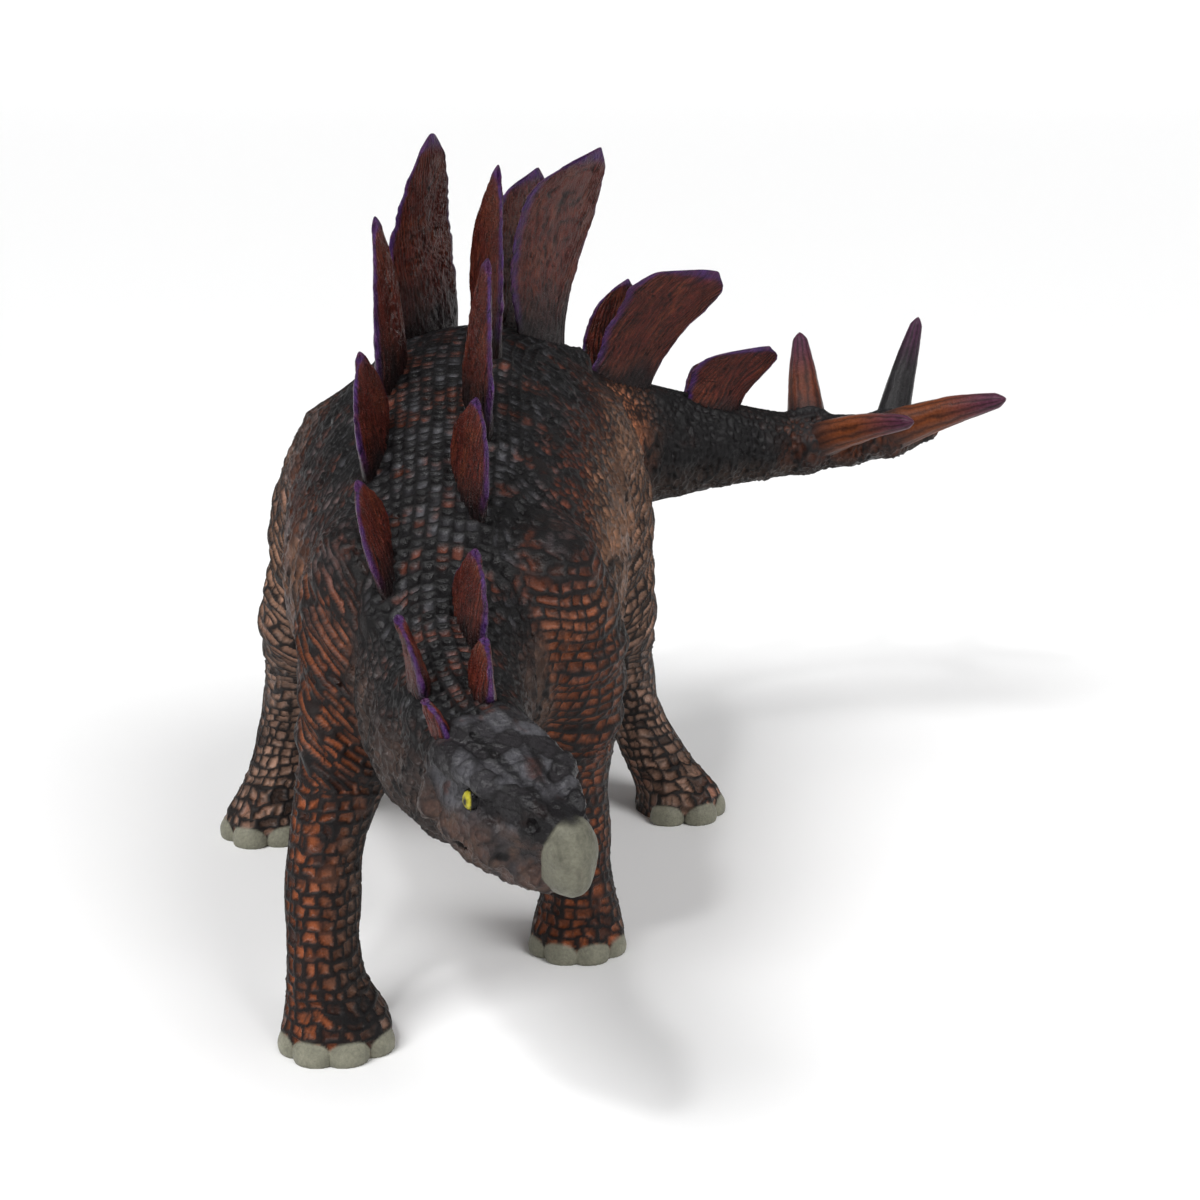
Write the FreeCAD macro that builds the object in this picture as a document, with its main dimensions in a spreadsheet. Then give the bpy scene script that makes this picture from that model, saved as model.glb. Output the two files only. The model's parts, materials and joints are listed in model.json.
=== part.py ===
import FreeCAD, Part
import math
import os

import Sketcher
from FreeCAD import Placement, Rotation, Vector

# A soft-skinned stegosaurus figure, millimetres, soles on z = 0, snout towards -Y, tail swung to +X.
# Every skin is a loft through oval stations. A station is written as its centre, the half size along
# its long direction, the half size across it, its heading about Z and its tilt.

DOC = FreeCAD.newDocument("stegosaurus")
SHEET = DOC.addObject("Spreadsheet::Sheet", "sizes")
ROWS = {"next": 1}

COMMON = {
    "wall": 2.4,             # thickness of a moulded skin
    "clearance": 0.15,       # gap between a skin and the fibre inside it
    "hole_play": 0.05,       # radial play of a plug in its hole
    "limb_plug": 6.0,        # radius of a leg's plug
    "plate_peg": 1.5,        # radius of a back plate's peg
    "spike_peg": 1.6,        # radius of a tail spike's peg
    "spigot": 5.0,           # depth of the neck and tail spigots inside the torso
    "frame_x": 0.0,
    "frame_y": 0.0,
}

# centre x, y, z, half height, half width, heading, tilt
TORSO = [
    (0.0, -122, 75, 21.0, 17.5, 0, 20),
    (0.0, -108, 78, 25.5, 24.0, 0, 18),
    (-0.5, -90, 80, 31.2, 31.0, 0, 14),
    (-1.5, -65, 81, 38.2, 37.4, 0, 8),
    (-2.5, -38, 84, 42.5, 39.5, 0, 3),
    (-1.5, -12, 87, 43.0, 38.5, 0, -2),
    (3.0, 10, 89, 39.0, 34.5, -8, -6),
    (9.0, 30, 90, 30.5, 27.0, -24, -8),
]
NECK = [
    (0.0, -122, 75, 21.0, 17.5, 0, 20),
    (1.0, -134, 72, 18.5, 15.2, 6, 16),
    (4.0, -147, 69.5, 16.0, 13.4, 14, 10),
    (8.0, -158, 68.5, 15.0, 12.8, 24, 4),
    (12.0, -167, 68, 15.4, 13.0, 30, 6),
    (16.0, -175, 67, 14.8, 12.2, 32, 8),
    (20.0, -182.5, 65.5, 12.4, 10.2, 34, 10),
    (24.0, -189, 65, 9.6, 7.8, 34, 12),
    (27.2, -194, 64.5, 6.4, 5.0, 34, 14),
]
TAIL = [
    (9.0, 30, 90, 30.5, 27.0, -24, -8),
    (18.5, 46, 90, 23.5, 20.0, -40, -4),
    (34.0, 60, 89.5, 18.5, 15.0, -55, 0),
    (56.0, 71, 87.5, 13.0, 10.8, -66, 3),
    (83.0, 79, 85.6, 8.4, 7.4, -75, 2),
    (106.0, 83, 86.2, 6.2, 5.6, -78, -2),
    (122.0, 85, 88.4, 4.6, 4.1, -78, -6),
    (130.0, 86, 90.0, 2.5, 2.1, -78, -8),
]
# leg stations lie flat: centre x, y, z, half fore-and-aft, half across, heading
LEGS = {
    "foreleg_right": [
        (-17, -98, 92, 16, 9.5, 0),
        (-21, -101, 78, 17, 11.6, 0),
        (-22, -106, 66, 14, 10.4, 0),
        (-21.8, -112, 54, 10.5, 9.6, 0),
        (-24.6, -119, 40, 9, 7.8, 0),
        (-25.2, -124, 26, 8.6, 7.4, 0),
        (-24.6, -127, 14, 10, 8.6, 0),
        (-22.8, -129, 5, 12.3, 11.4, 0),
        (-22.8, -128.5, 0, 11.7, 10.8, 0),
    ],
    "foreleg_left": [
        (17, -98, 92, 16, 10, 0),
        (22, -98, 78, 17, 13.0, 0),
        (23, -95, 66, 14, 12.0, 0),
        (24, -91, 54, 10.5, 9.8, 0),
        (24.5, -86, 40, 8.5, 7.8, 0),
        (25.3, -82, 26, 8.2, 7.4, 0),
        (26, -80, 14, 9.6, 8.6, 0),
        (26, -79, 5, 12.0, 11.2, 0),
        (26, -78.5, 0, 11.3, 10.4, 0),
    ],
    "hindleg_right": [
        (-27, -2, 102, 22, 13, 0),
        (-34, -6, 86, 24, 14.5, 0),
        (-37.5, -12, 68, 20, 13, 0),
        (-41, -13, 54, 14.5, 10.8, 0),
        (-45, -6, 40, 10.5, 8.5, 0),
        (-49, 0, 27, 8.5, 7.6, 0),
        (-52, -1, 16, 9.5, 8.4, -8),
        (-55, -7, 6, 13.0, 10.5, -15),
        (-55, -6.5, 0, 12.4, 9.8, -15),
    ],
    "hindleg_left": [
        (22, 2, 102, 22, 11, 0),
        (28, 0, 86, 24, 13.5, 0),
        (31.5, -4, 68, 20, 12.0, 0),
        (34, -2, 54, 14.5, 10.2, 0),
        (35.5, 8, 40, 10.5, 8.4, 0),
        (39, 15, 27, 8.5, 7.5, 8),
        (44.5, 15, 16, 9.5, 8.4, 18),
        (51.5, 10, 6, 13.2, 10.4, 28),
        (51.5, 10.5, 0, 12.6, 9.8, 28),
    ],
}
# where each leg's plug crosses the torso wall: y, z, and how far out it reaches
PLUGS = {
    "foreleg_right": (-99, 75, 31.2),
    "foreleg_left": (-98, 80, 31.5),
    "hindleg_right": (-6, 80, 42),
    "hindleg_left": (-3, 80, 39.5),
}
# root x, y, z, chord, height, sweep towards the tail, heading, outward lean, carrier
PLATES = {
    "plate_right_1": (3.0, -167.5, 78.0, 8, 8, 2, 24, -22, "neck"),
    "plate_right_2": (-2.5, -150.0, 82.0, 20, 14, 4, 10, -16, "neck"),
    "plate_right_3": (-11.5, -114.5, 95.5, 25, 19, 5, -6, -22, "torso"),
    "plate_right_4": (-17.0, -77.0, 110.0, 30, 24, 6, -8, -12, "torso"),
    "plate_right_5": (-16.5, -41.0, 121.5, 32, 38, 8, -9, -9, "torso"),
    "plate_right_6": (-12.5, -2.0, 126.0, 36, 50, 8, -24, 0, "torso"),
    "plate_right_7": (9.5, 24.0, 120.0, 32, 46, 12, -28, -1, "torso"),
    "plate_left_1": (9.5, -157.5, 81.5, 15, 12, 3, 18, 8, "neck"),
    "plate_left_2": (6.0, -135.0, 86.5, 21, 18, 4, 22, 10, "neck"),
    "plate_left_3": (4.0, -98.0, 105.5, 28, 22, 5, 20, 10, "torso"),
    "plate_left_4": (4.0, -65.0, 117.5, 32, 35, 6, 16, 8, "torso"),
    "plate_left_5": (4.5, -24.0, 127.0, 36, 43, 7, 15, 7, "torso"),
    "plate_left_6": (17.0, 7.0, 123.5, 38, 49, 16, -31, 9, "torso"),
    "tail_plate_right_1": (29.0, 63.5, 104.5, 20, 29, 12, -52, 2, "tail"),
    "tail_plate_right_2": (58.0, 76.5, 96.5, 16, 14, 7, -66, -14, "tail"),
    "tail_plate_left_1": (36.5, 55.5, 104.0, 27, 32, 26, -60, 10, "tail"),
    "tail_plate_left_2": (62.5, 68.0, 95.5, 22, 20, 15, -70, 14, "tail"),
}
# root, tip and root radius
SPIKES = {
    "tail_spike_right_1": ((90.5, 81.5, 90.5), (88.5, 90.0, 116.0), 4.8),
    "tail_spike_right_2": ((115.0, 85.0, 90.0), (123.0, 93.0, 120.0), 4.0),
    "tail_spike_left_1": ((91.5, 77.0, 86.0), (117.0, 53.0, 96.5), 4.4),
    "tail_spike_left_2": ((111.0, 80.5, 87.5), (143.5, 61.0, 101.5), 4.8),
}
# a plate's outline: share of the height, share of the half chord, share of the sweep, half thickness
LEAF = [
    (-0.28, 0.80, 0.0, 2.6),
    (0.12, 0.93, 0.05, 2.3),
    (0.35, 1.00, 0.18, 1.9),
    (0.58, 0.88, 0.40, 1.6),
    (0.80, 0.58, 0.70, 1.3),
    (1.00, 0.16, 1.00, 0.9),
]
SPIKE_STATIONS = 5
SPIKE_TIP = 0.8


def put(alias, value):
    row = ROWS["next"]
    ROWS["next"] += 1
    SHEET.set("A%d" % row, alias)
    SHEET.set("B%d" % row, "%.4f" % value)
    SHEET.setAlias("B%d" % row, alias)


def size(alias):
    return float(SHEET.get(alias))


def write_sheet():
    for alias, value in COMMON.items():
        put(alias, value)
    for name, stations in [("torso", TORSO), ("neck", NECK), ("tail", TAIL)] + list(LEGS.items()):
        for i, (x, y, z, rise, across, *turn) in enumerate(stations):
            for word, value in zip(("x", "y", "z", "rise", "across"), (x, y, z, rise, across)):
                put("%s_%s_%s" % (name, word, "abcdefghij"[i]), value)
    for name, row in PLATES.items():
        for word, value in zip(("chord", "height", "sweep"), row[3:6]):
            put("%s_%s" % (name, word), value)
    for name, (root, tip, radius) in SPIKES.items():
        put(name + "_length", (Vector(*tip) - Vector(*root)).Length)
        put(name + "_radius", radius)
    DOC.recompute()


def oval(body, name, turn, centre, rise, across):
    """One station: an ellipse whose centre and half sizes are sheet expressions."""
    sketch = body.newObject("Sketcher::SketchObject", name)
    plane = [f for f in body.Origin.OriginFeatures if f.Name.startswith("XY_Plane")][0]
    sketch.AttachmentSupport = [(plane, "")]
    sketch.MapMode = "FlatFace"
    sketch.AttachmentOffset = Placement(Vector(0, 0, 0), turn)
    for word, text in zip("xyz", centre):
        sketch.setExpression("AttachmentOffset.Base." + word, text)
    sketch.addGeometry(Part.Ellipse(Vector(0, 6, 0), Vector(-3, 0, 0), Vector(0, 0, 0)), False)
    sketch.exposeInternalGeometry(0)
    sketch.addConstraint(Sketcher.Constraint("Coincident", 0, 3, -1, 1))
    sketch.addConstraint(Sketcher.Constraint("Vertical", 1))
    for line, word, text in ((1, "long", rise), (2, "short", across)):
        k = sketch.addConstraint(Sketcher.Constraint("Distance", line, 10.0 if line == 1 else 5.0))
        sketch.renameConstraint(k, word)
        sketch.setExpression("Constraints." + word, "2 * (%s)" % text)
    sketch.Visibility = False
    return sketch


def loft(name, ovals):
    """A body lofted through stations given as (turn, centre, rise, across)."""
    body = DOC.addObject("PartDesign::Body", name)
    sketches = [oval(body, "%s_station_%d" % (name, i), *row) for i, row in enumerate(ovals)]
    feature = body.newObject("PartDesign::AdditiveLoft", name + "_loft")
    feature.Profile = sketches[0]
    feature.Sections = sketches[1:]
    feature.Ruled = False
    body.Tip = feature
    return body


def ring(name, i, row, inset, lift=None):
    """Sheet expressions of one station, drawn in by `inset` and moved to height `lift` if given."""
    key = "abcdefghij"[i]
    cell = {w: "sizes.%s_%s_%s" % (name, w, key) for w in ("x", "y", "z", "rise", "across")}
    cut = " - (%s)" % inset if inset else ""
    if len(row) == 7:
        turn = Rotation(Vector(0, 0, 1), row[5]) * Rotation(Vector(1, 0, 0), 90 + row[6])
    else:
        turn = Rotation(Vector(0, 0, 1), row[5])
    centre = (cell["x"], cell["y"], lift or cell["z"])
    return turn, centre, cell["rise"] + cut, cell["across"] + cut


def rings(name, stations, first, last, inset=None, lift=None):
    rows = [ring(name, i, stations[i], inset) for i in range(first, last)]
    if lift:
        rows.append(ring(name, last, stations[last], inset, lift))
    return rows


def combine(kind, name, base, tools):
    """A Part boolean of two or more objects."""
    if kind == "Cut":
        joined = tools[0] if len(tools) == 1 else combine("MultiFuse", name + "_tools", None, tools)
        result = DOC.addObject("Part::Cut", name)
        result.Base, result.Tool = base, joined
    else:
        result = DOC.addObject("Part::" + kind, name)
        result.Shapes = ([base] if base else []) + tools
    return result


def rod(name, start, along, length, radius, play=None):
    """A cylinder from `start` along a direction, its radius read from the sheet."""
    peg = DOC.addObject("Part::Cylinder", name)
    peg.Height = length
    peg.setExpression("Radius", "sizes.%s%s" % (radius, " + sizes.hole_play" if play else ""))
    peg.Placement = Placement(Vector(*start), Rotation(Vector(0, 0, 1), Vector(*along)))
    return peg


write_sheet()
GAP = "sizes.wall + sizes.clearance"

# skins before they are opened, and the hollows inside them
outer = {"torso": loft("torso_outside", rings("torso", TORSO, 0, len(TORSO)))}
hollow = {"torso": loft("torso_hollow", rings("torso", TORSO, 0, len(TORSO), "sizes.wall"))}
filling = {"torso": loft("torso_fill", rings("torso", TORSO, 1, len(TORSO) - 1, GAP))}
for key, stations in (("neck", NECK), ("tail", TAIL)):
    outer[key] = loft(key + "_outside", rings(key, stations, 0, len(stations)))
    hollow[key] = loft(key + "_hollow", rings(key, stations, 0, len(stations) - 1, "sizes.wall"))
    filling[key] = loft(key + "_fill", rings(key, stations, 1, len(stations) - 2, GAP))
for key, stations in LEGS.items():
    outer[key] = loft(key + "_outside", rings(key, stations, 0, len(stations)))
    sole = "sizes.wall"
    hollow[key] = loft(key + "_hollow", rings(key, stations, 2, 8, "sizes.wall", sole))
    filling[key] = loft(key + "_fill", rings(key, stations, 3, 8, GAP, "sizes.wall + sizes.clearance"))

shell = {k: combine("Cut", k + "_shell", outer[k], [hollow[k]]) for k in ("torso", "neck", "tail")}
holes = {"torso": [], "neck": [], "tail": []}
final = {}


def seat(name, solid, carrier, start, along, length, radius):
    """Trim `solid` to the carrier's surface and give it a peg as deep as the carrier's wall."""
    whole = combine("MultiFuse", name + "_whole", solid, [rod(name + "_rod", start, along, length, radius)])
    hole = rod(name + "_hole", start, along, length, radius, play=True)
    holes[carrier].append(hole)
    blank = combine("Cut", name + "_bed", outer[carrier], [hole])
    trimmed = combine("Cut", name + "_trimmed", whole, [blank])
    return combine("Cut", name + "_seated", trimmed, [hollow[carrier]])


# legs
for key in LEGS:
    y, z, reach = PLUGS[key]
    side = -1 if key.endswith("right") else 1
    whole = seat(key, outer[key], "torso", (side * 12, y, z), (side, 0, 0), reach - 12, "limb_plug")
    final[key + "_skin"] = combine("Cut", key + "_skin", whole, [hollow[key]])
    final[key + "_filling"] = filling[key]

# back plates
for key, (x, y, z, chord, height, sweep, heading, lean, carrier) in PLATES.items():
    cell = {w: "sizes.%s_%s" % (key, w) for w in ("chord", "height", "sweep")}
    rows = [
        (
            Rotation(),
            ("0 mm", "%s * %.3f" % (cell["sweep"], back), "%s * %.3f" % (cell["height"], up)),
            "max(%s / 2 * %.3f; %.3f)" % (cell["chord"], wide, thick * 1.25),
            "%.3f" % thick,
        )
        for up, wide, back, thick in LEAF
    ]
    leaf = loft(key + "_leaf", rows)
    turn = Rotation(Vector(0, 0, 1), heading) * Rotation(Vector(0, 1, 0), lean)
    leaf.Placement = Placement(Vector(x, y, z), turn)
    along = turn.multVec(Vector(0, 0, 1))
    start = Vector(x, y, z) - along * 7
    reach = 7 + min(7, 0.45 * height)
    final[key] = seat(key, leaf, carrier, tuple(start), tuple(along), reach, "plate_peg")

# tail spikes
for key, (root, tip, radius) in SPIKES.items():
    rows = []
    for i in range(SPIKE_STATIONS):
        t = i / (SPIKE_STATIONS - 1)
        r = "sizes.%s_radius * %.3f + %.3f" % (key, 1 - t, SPIKE_TIP * t)
        bow = "sizes.%s_length * %.4f" % (key, 0.05 * math.sin(math.pi * t))
        rows.append((Rotation(), ("0 mm", bow, "sizes.%s_length * %.3f" % (key, t)), r, "(%s) * 0.94" % r))
    horn = loft(key + "_horn", rows)
    way = Vector(*tip) - Vector(*root)
    horn.Placement = Placement(Vector(*root), Rotation(Vector(0, 0, 1), way))
    along = way.normalize()
    start = Vector(*root) - along * 1.5
    final[key] = seat(key, horn, "tail", tuple(start), tuple(along), 12, "spike_peg")

# spigots that carry the neck and the tail inside the torso's two ends
collar = {}
for key, stations, into_torso, grip in (("neck", NECK, -1, 3.0), ("tail", TAIL, 1, 1.2)):
    parts = []
    for word, inset, extra in (("tube", "sizes.wall + sizes.hole_play", 0), ("bore", "2 * sizes.wall", 2)):
        turn, centre, rise, across = ring(key, 0, stations[0], inset)
        back = turn.multVec(Vector(0, 0, 1)) * (-into_torso * (grip + extra))
        centre = ["%s + %.4f" % (cell, step) for cell, step in zip(centre, back)]
        body = DOC.addObject("PartDesign::Body", "%s_spigot_%s" % (key, word))
        pad = body.newObject("PartDesign::Pad", "%s_spigot_%s_pad" % (key, word))
        pad.Profile = oval(body, "%s_spigot_%s_ring" % (key, word), turn, centre, rise, across)
        pad.setExpression("Length", "sizes.spigot + %.2f" % (grip + 2 * extra))
        pad.Reversed = into_torso < 0
        body.Tip = pad
        parts.append(body)
    collar[key] = combine("Cut", key + "_spigot", parts[0], [parts[1]])

final["torso_skin"] = combine("Cut", "torso_skin", shell["torso"], holes["torso"])
final["torso_filling"] = filling["torso"]
for key, label in (("neck", "head_neck"), ("tail", "tail")):
    opened = combine("Cut", label + "_opened", shell[key], holes[key])
    final[label + "_skin"] = combine("MultiFuse", label + "_skin", opened, [collar[key]])
    final[label + "_filling"] = filling[key]

DOC.recompute()

# the frame's origin is under the middle of the whole figure
box = FreeCAD.BoundBox()
for thing in final.values():
    box.add(thing.Shape.optimalBoundingBox(False, False))
SHEET.set("frame_x", "%.4f" % -box.Center.x)
SHEET.set("frame_y", "%.4f" % -box.Center.y)
print("frame moved by %.4f, %.4f" % (-box.Center.x, -box.Center.y))
for label, thing in final.items():
    thing.Label = label
    thing.setExpression("Placement.Base.x", "sizes.frame_x")
    thing.setExpression("Placement.Base.y", "sizes.frame_y")
DOC.recompute()

os.makedirs("parts", exist_ok=True)
for thing in DOC.Objects:
    if "Invalid" in thing.State or "Error" in thing.State:
        raise RuntimeError("%s did not build: %s" % (thing.Name, thing.State))
for label, thing in final.items():
    shape = thing.Shape
    if shape.isNull() or not shape.isValid() or shape.Volume <= 0:
        raise RuntimeError("%s is not a valid solid" % label)
    print("%-24s solids %d volume %.1f" % (label, len(shape.Solids), shape.Volume))
    shape.exportStep("parts/%s.step" % label)
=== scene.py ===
import json
import math

import bpy
import numpy as np
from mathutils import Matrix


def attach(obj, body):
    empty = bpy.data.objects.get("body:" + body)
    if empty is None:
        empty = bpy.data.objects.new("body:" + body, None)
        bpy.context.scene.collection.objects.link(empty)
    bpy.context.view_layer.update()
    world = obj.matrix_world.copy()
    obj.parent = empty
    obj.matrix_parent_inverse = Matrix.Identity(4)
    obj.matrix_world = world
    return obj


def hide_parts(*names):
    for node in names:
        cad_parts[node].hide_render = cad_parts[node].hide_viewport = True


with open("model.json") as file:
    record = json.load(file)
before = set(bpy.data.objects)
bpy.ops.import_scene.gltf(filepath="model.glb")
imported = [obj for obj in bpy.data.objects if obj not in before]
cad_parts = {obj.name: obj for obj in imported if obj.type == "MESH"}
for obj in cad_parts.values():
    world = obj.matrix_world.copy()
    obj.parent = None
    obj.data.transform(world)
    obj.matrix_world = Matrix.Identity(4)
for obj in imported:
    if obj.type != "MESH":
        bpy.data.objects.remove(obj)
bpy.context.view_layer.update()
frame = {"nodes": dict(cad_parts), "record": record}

import openvdb as vdb
from mathutils import Matrix, Vector


def f32(values):
    return np.array(values, np.float32)


# Lengths are in millimetres, in a working frame whose axes are the row's; SHIFT moves it to the row's frame.
MM = 0.001
SOLE = next(m for m in frame["record"]["mounts"] if m["name"] == "sole_fore_right")["pos_m"]
SHIFT = f32([SOLE[0] / MM + 22.8, SOLE[1] / MM + 128.5, 0.0])

# --- body tables
# centre x, y, z, half height, half width: snout to hip, then hip to tail tip
TRUNK = f32([
    (18, -182, 67.5, 5, 4.6),
    (15, -175, 68, 9.5, 8.6),
    (12, -167, 68.5, 12.8, 11.6),
    (8, -158, 69, 14.6, 13),
    (4, -147, 69.5, 16, 14),
    (1, -134, 72, 18.5, 15.5),
    (0, -122, 75, 21.6, 18.2),
    (0, -108, 78, 26.2, 24.6),
    (-0.5, -90, 80, 31.4, 31),
    (-1.5, -65, 81, 38.4, 37.2),
    (-2.5, -38, 84, 42.5, 39.2),
    (-1.5, -12, 87, 43, 38.2),
    (3, 10, 89, 39, 34.5),
    (9, 30, 90, 30.5, 29),
    (18.5, 46, 90, 23.5, 24),
])
TAIL = f32([
    (-1.5, 2, 89, 38, 34),
    (3, 14, 90, 36, 32),
    (9, 30, 90, 30.5, 28.5),
    (18.5, 46, 90, 23.5, 21),
    (34, 60, 89, 19, 16),
    (56, 71, 87.3, 13.8, 11.8),
    (83, 79, 85.4, 8.9, 8.2),
    (106, 83, 86.2, 6.6, 6.2),
    (119, 85, 87.8, 5, 4.8),
    (126, 85.6, 89.2, 2.4, 2.3),
])
TAIL_AXIS = f32([0.8, 0.6, 0.0])
# centre x, y, z, half fore-and-aft, half across, heading
LEGS = {
    "foreleg_right": [
        (-14, -98, 96, 13, 8, 0),
        (-19, -101, 80, 16, 10.4, 0),
        (-20.8, -106, 67, 13.5, 9.4, 0),
        (-21.2, -112, 55, 10.8, 9.4, 0),
        (-24.8, -119, 40, 9.0, 7.4, 0),
        (-25.5, -124, 26, 8.4, 6.9, 0),
        (-24.8, -127, 14, 9.2, 7.6, 0),
        (-22.8, -127.6, 6, 10.6, 10.2, 0),
        (-22.8, -127.6, 0, 10.8, 10.4, 0)],
    "foreleg_left": [
        (15, -98, 94, 13, 9, 0),
        (21, -98, 79, 16, 13.0, 0),
        (23, -95, 66, 14, 12.2, 0),
        (24, -91, 54, 10.6, 9.8, 0),
        (24.5, -86, 40, 8.5, 7.8, 0),
        (25.3, -82, 26, 8.0, 7.2, 0),
        (26, -80, 14, 8.8, 7.9, 0),
        (26, -79, 6, 10.2, 9.6, 0),
        (26, -79, 0, 10.4, 9.8, 0)],
    "hindleg_right": [
        (-26, -2, 106, 18, 12, 0),
        (-34, -6, 88, 24, 14.2, 0),
        (-37.5, -12, 70, 20, 13, 0),
        (-41, -13, 55, 14.5, 11, 0),
        (-45, -6, 40, 10.4, 8.6, 0),
        (-49, 0, 27, 8.4, 7.6, 0),
        (-51.6, -1, 16, 8.9, 7.8, -8),
        (-54, -6, 6, 11.4, 9.2, -15),
        (-54, -6, 0, 11.6, 9.4, -15)],
    "hindleg_left": [
        (22, 2, 106, 18, 10, 0),
        (28, 0, 88, 24, 13.2, 0),
        (31.5, -4, 70, 20, 12.2, 0),
        (34, -2, 55, 14.5, 10.4, 0),
        (35.5, 8, 40, 10.4, 8.5, 0),
        (39, 15, 27, 8.4, 7.5, 8),
        (44.5, 15, 16, 9.2, 8.2, 18),
        (50.5, 10, 6, 11.6, 9.2, 28),
        (50.5, 10, 0, 11.8, 9.4, 28)],
}
LEGS = {name: f32(rows) for name, rows in LEGS.items()}
# muscles and folds: centre, half sizes, heading, and how widely each blends in
LUMPS = {
    "foreleg_right": [((-17.5, -98, 84), (12.5, 17, 20), 0, 8), ((-22, -99, 60), (7, 8.5, 9), 0, 5),
                      ((-21, -113, 63), (8, 8, 14), 0, 5), ((-25.5, -122, 30), (5.8, 6, 10), 0, 4)],
    "foreleg_left": [((21, -98, 82), (13, 17, 20), 0, 8), ((24, -86, 58), (8, 8, 9), 0, 6),
                     ((24, -97, 62), (9, 8, 13), 0, 6), ((25, -82, 30), (6.2, 6, 10), 0, 5)],
    "hindleg_right": [((-31, -8, 88), (14, 27, 24), 0, 10), ((-41, -22, 60), (9.5, 9, 11), 0, 7),
                      ((-46, 2, 38), (7, 8, 10), 0, 6), ((-50, 6, 24), (6, 6, 6), 0, 5)],
    "hindleg_left": [((26, -2, 88), (14, 27, 24), 0, 10), ((33, -14, 60), (9.5, 9, 11), 0, 7),
                     ((36, 14, 38), (7, 8, 10), 0, 6), ((40, 22, 24), (6, 6, 6), 8, 5)],
}
# toes of each foot: bearing from the foot's centre, reach, toe radius
TOES = {
    "foreleg_right": [(-58, 8.6, 4.0), (-20, 9.2, 4.4), (18, 9.0, 4.4), (62, 8.8, 4.1)],
    "foreleg_left": [(-58, 8.2, 3.8), (-20, 8.6, 4.1), (18, 8.6, 4.1), (58, 8.0, 3.8)],
    "hindleg_right": [(-46, 9.0, 4.4), (-4, 10.4, 4.6), (38, 9.6, 4.3)],
    "hindleg_left": [(-38, 10.0, 4.4), (6, 10.8, 4.6), (46, 9.6, 4.3)],
}
FOOT_AIM = {"foreleg_right": 0, "foreleg_left": 0, "hindleg_right": -15, "hindleg_left": 28}
# root x, y, z, chord, height, sweep, heading, outward lean, bow: as in the solids
PLATES = {
    "plate_right_1": (3, -167.5, 78, 8, 8, 2, 24, -22),
    "plate_right_2": (-2.5, -150, 82, 20, 14, 4, 10, -16),
    "plate_right_3": (-11.5, -114.5, 95.5, 25, 19, 5, -6, -22),
    "plate_right_4": (-17, -77, 110, 30, 24, 6, -8, -12),
    "plate_right_5": (-16.5, -41, 121.5, 32, 38, 8, -9, -9),
    "plate_right_6": (-12.5, -2, 126, 36, 50, 8, -24, 0),
    "plate_right_7": (9.5, 24, 120, 32, 46, 12, -28, -1),
    "plate_left_1": (9.5, -157.5, 81.5, 15, 12, 3, 18, 8),
    "plate_left_2": (6, -135, 86.5, 21, 18, 4, 22, 10),
    "plate_left_3": (4, -98, 105.5, 28, 22, 5, 20, 10),
    "plate_left_4": (4, -65, 117.5, 32, 35, 6, 16, 8),
    "plate_left_5": (4.5, -24, 127, 36, 43, 7, 15, 7),
    "plate_left_6": (17, 7, 123.5, 38, 49, 16, -31, 9),
    "tail_plate_right_1": (29, 63.5, 104.5, 20, 29, 12, -52, 2),
    "tail_plate_right_2": (58, 76.5, 96.5, 16, 14, 7, -66, -14),
    "tail_plate_left_1": (36.5, 55.5, 104, 27, 33, 28, -60, 10),
    "tail_plate_left_2": (62.5, 68, 95.5, 22, 20, 15, -70, 14),
}
SPIKES = {
    "tail_spike_right_1": ((90.5, 81.5, 90.5), (88.5, 90, 116), 5.2),
    "tail_spike_right_2": ((115, 85, 90), (123, 93, 120), 4.4),
    "tail_spike_left_1": ((91.5, 77, 86), (117, 53, 96.5), 5),
    "tail_spike_left_2": ((111, 80.5, 87.5), (143.5, 61, 101.5), 5.6),
}
# head frame: the skull's middle, its forward, left and up directions
SKULL = f32([14.5, -173.0, 68.5])
HEADING, NOD = math.radians(36), math.radians(8)
FWD = f32([math.sin(HEADING) * math.cos(NOD), -math.cos(HEADING) * math.cos(NOD), -math.sin(NOD)])
LEFT = f32([math.cos(HEADING), math.sin(HEADING), 0.0])
UP = np.cross(FWD, LEFT) * -1.0
UP = f32(UP if UP[2] > 0 else -UP)
HEAD = np.stack([FWD, LEFT, UP], 1)
# the middle of the left eyeball, in the head frame
EYE = (2.2, 8.2, 3.2)


# --- small maths
def smooth(a, b, x):
    t = np.clip((x - a) / (b - a), 0.0, 1.0)
    return t * t * (3.0 - 2.0 * t)


def fade(a, b, x):
    return 1 - smooth(a, b, x)


def smin(a, b, k):
    w = np.maximum(k - np.abs(a - b), 0.0) / k
    return np.minimum(a, b) - w * w * k * 0.25


def smax(a, b, k):
    return -smin(-a, -b, k)


def turn(heading):
    a = math.radians(heading)
    c, s = math.cos(a), math.sin(a)
    return f32([[c, -s, 0], [s, c, 0], [0, 0, 1]])


def hashed(i, j, k, seed):
    """A repeatable number in 0..1 for each lattice cell."""
    n = (i.astype(np.int64) * 73856093) ^ (j.astype(np.int64) * 19349663) ^ (k.astype(np.int64) * 83492791)
    n = (n ^ (seed * 2654435761)) & 0xFFFFFFFF
    n = ((n ^ (n >> 16)) * 0x45D9F3B) & 0xFFFFFFFF
    n = ((n ^ (n >> 16)) * 0x45D9F3B) & 0xFFFFFFFF
    return f32((n ^ (n >> 16)) & 0xFFFFFF) / 16777216.0


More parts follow.
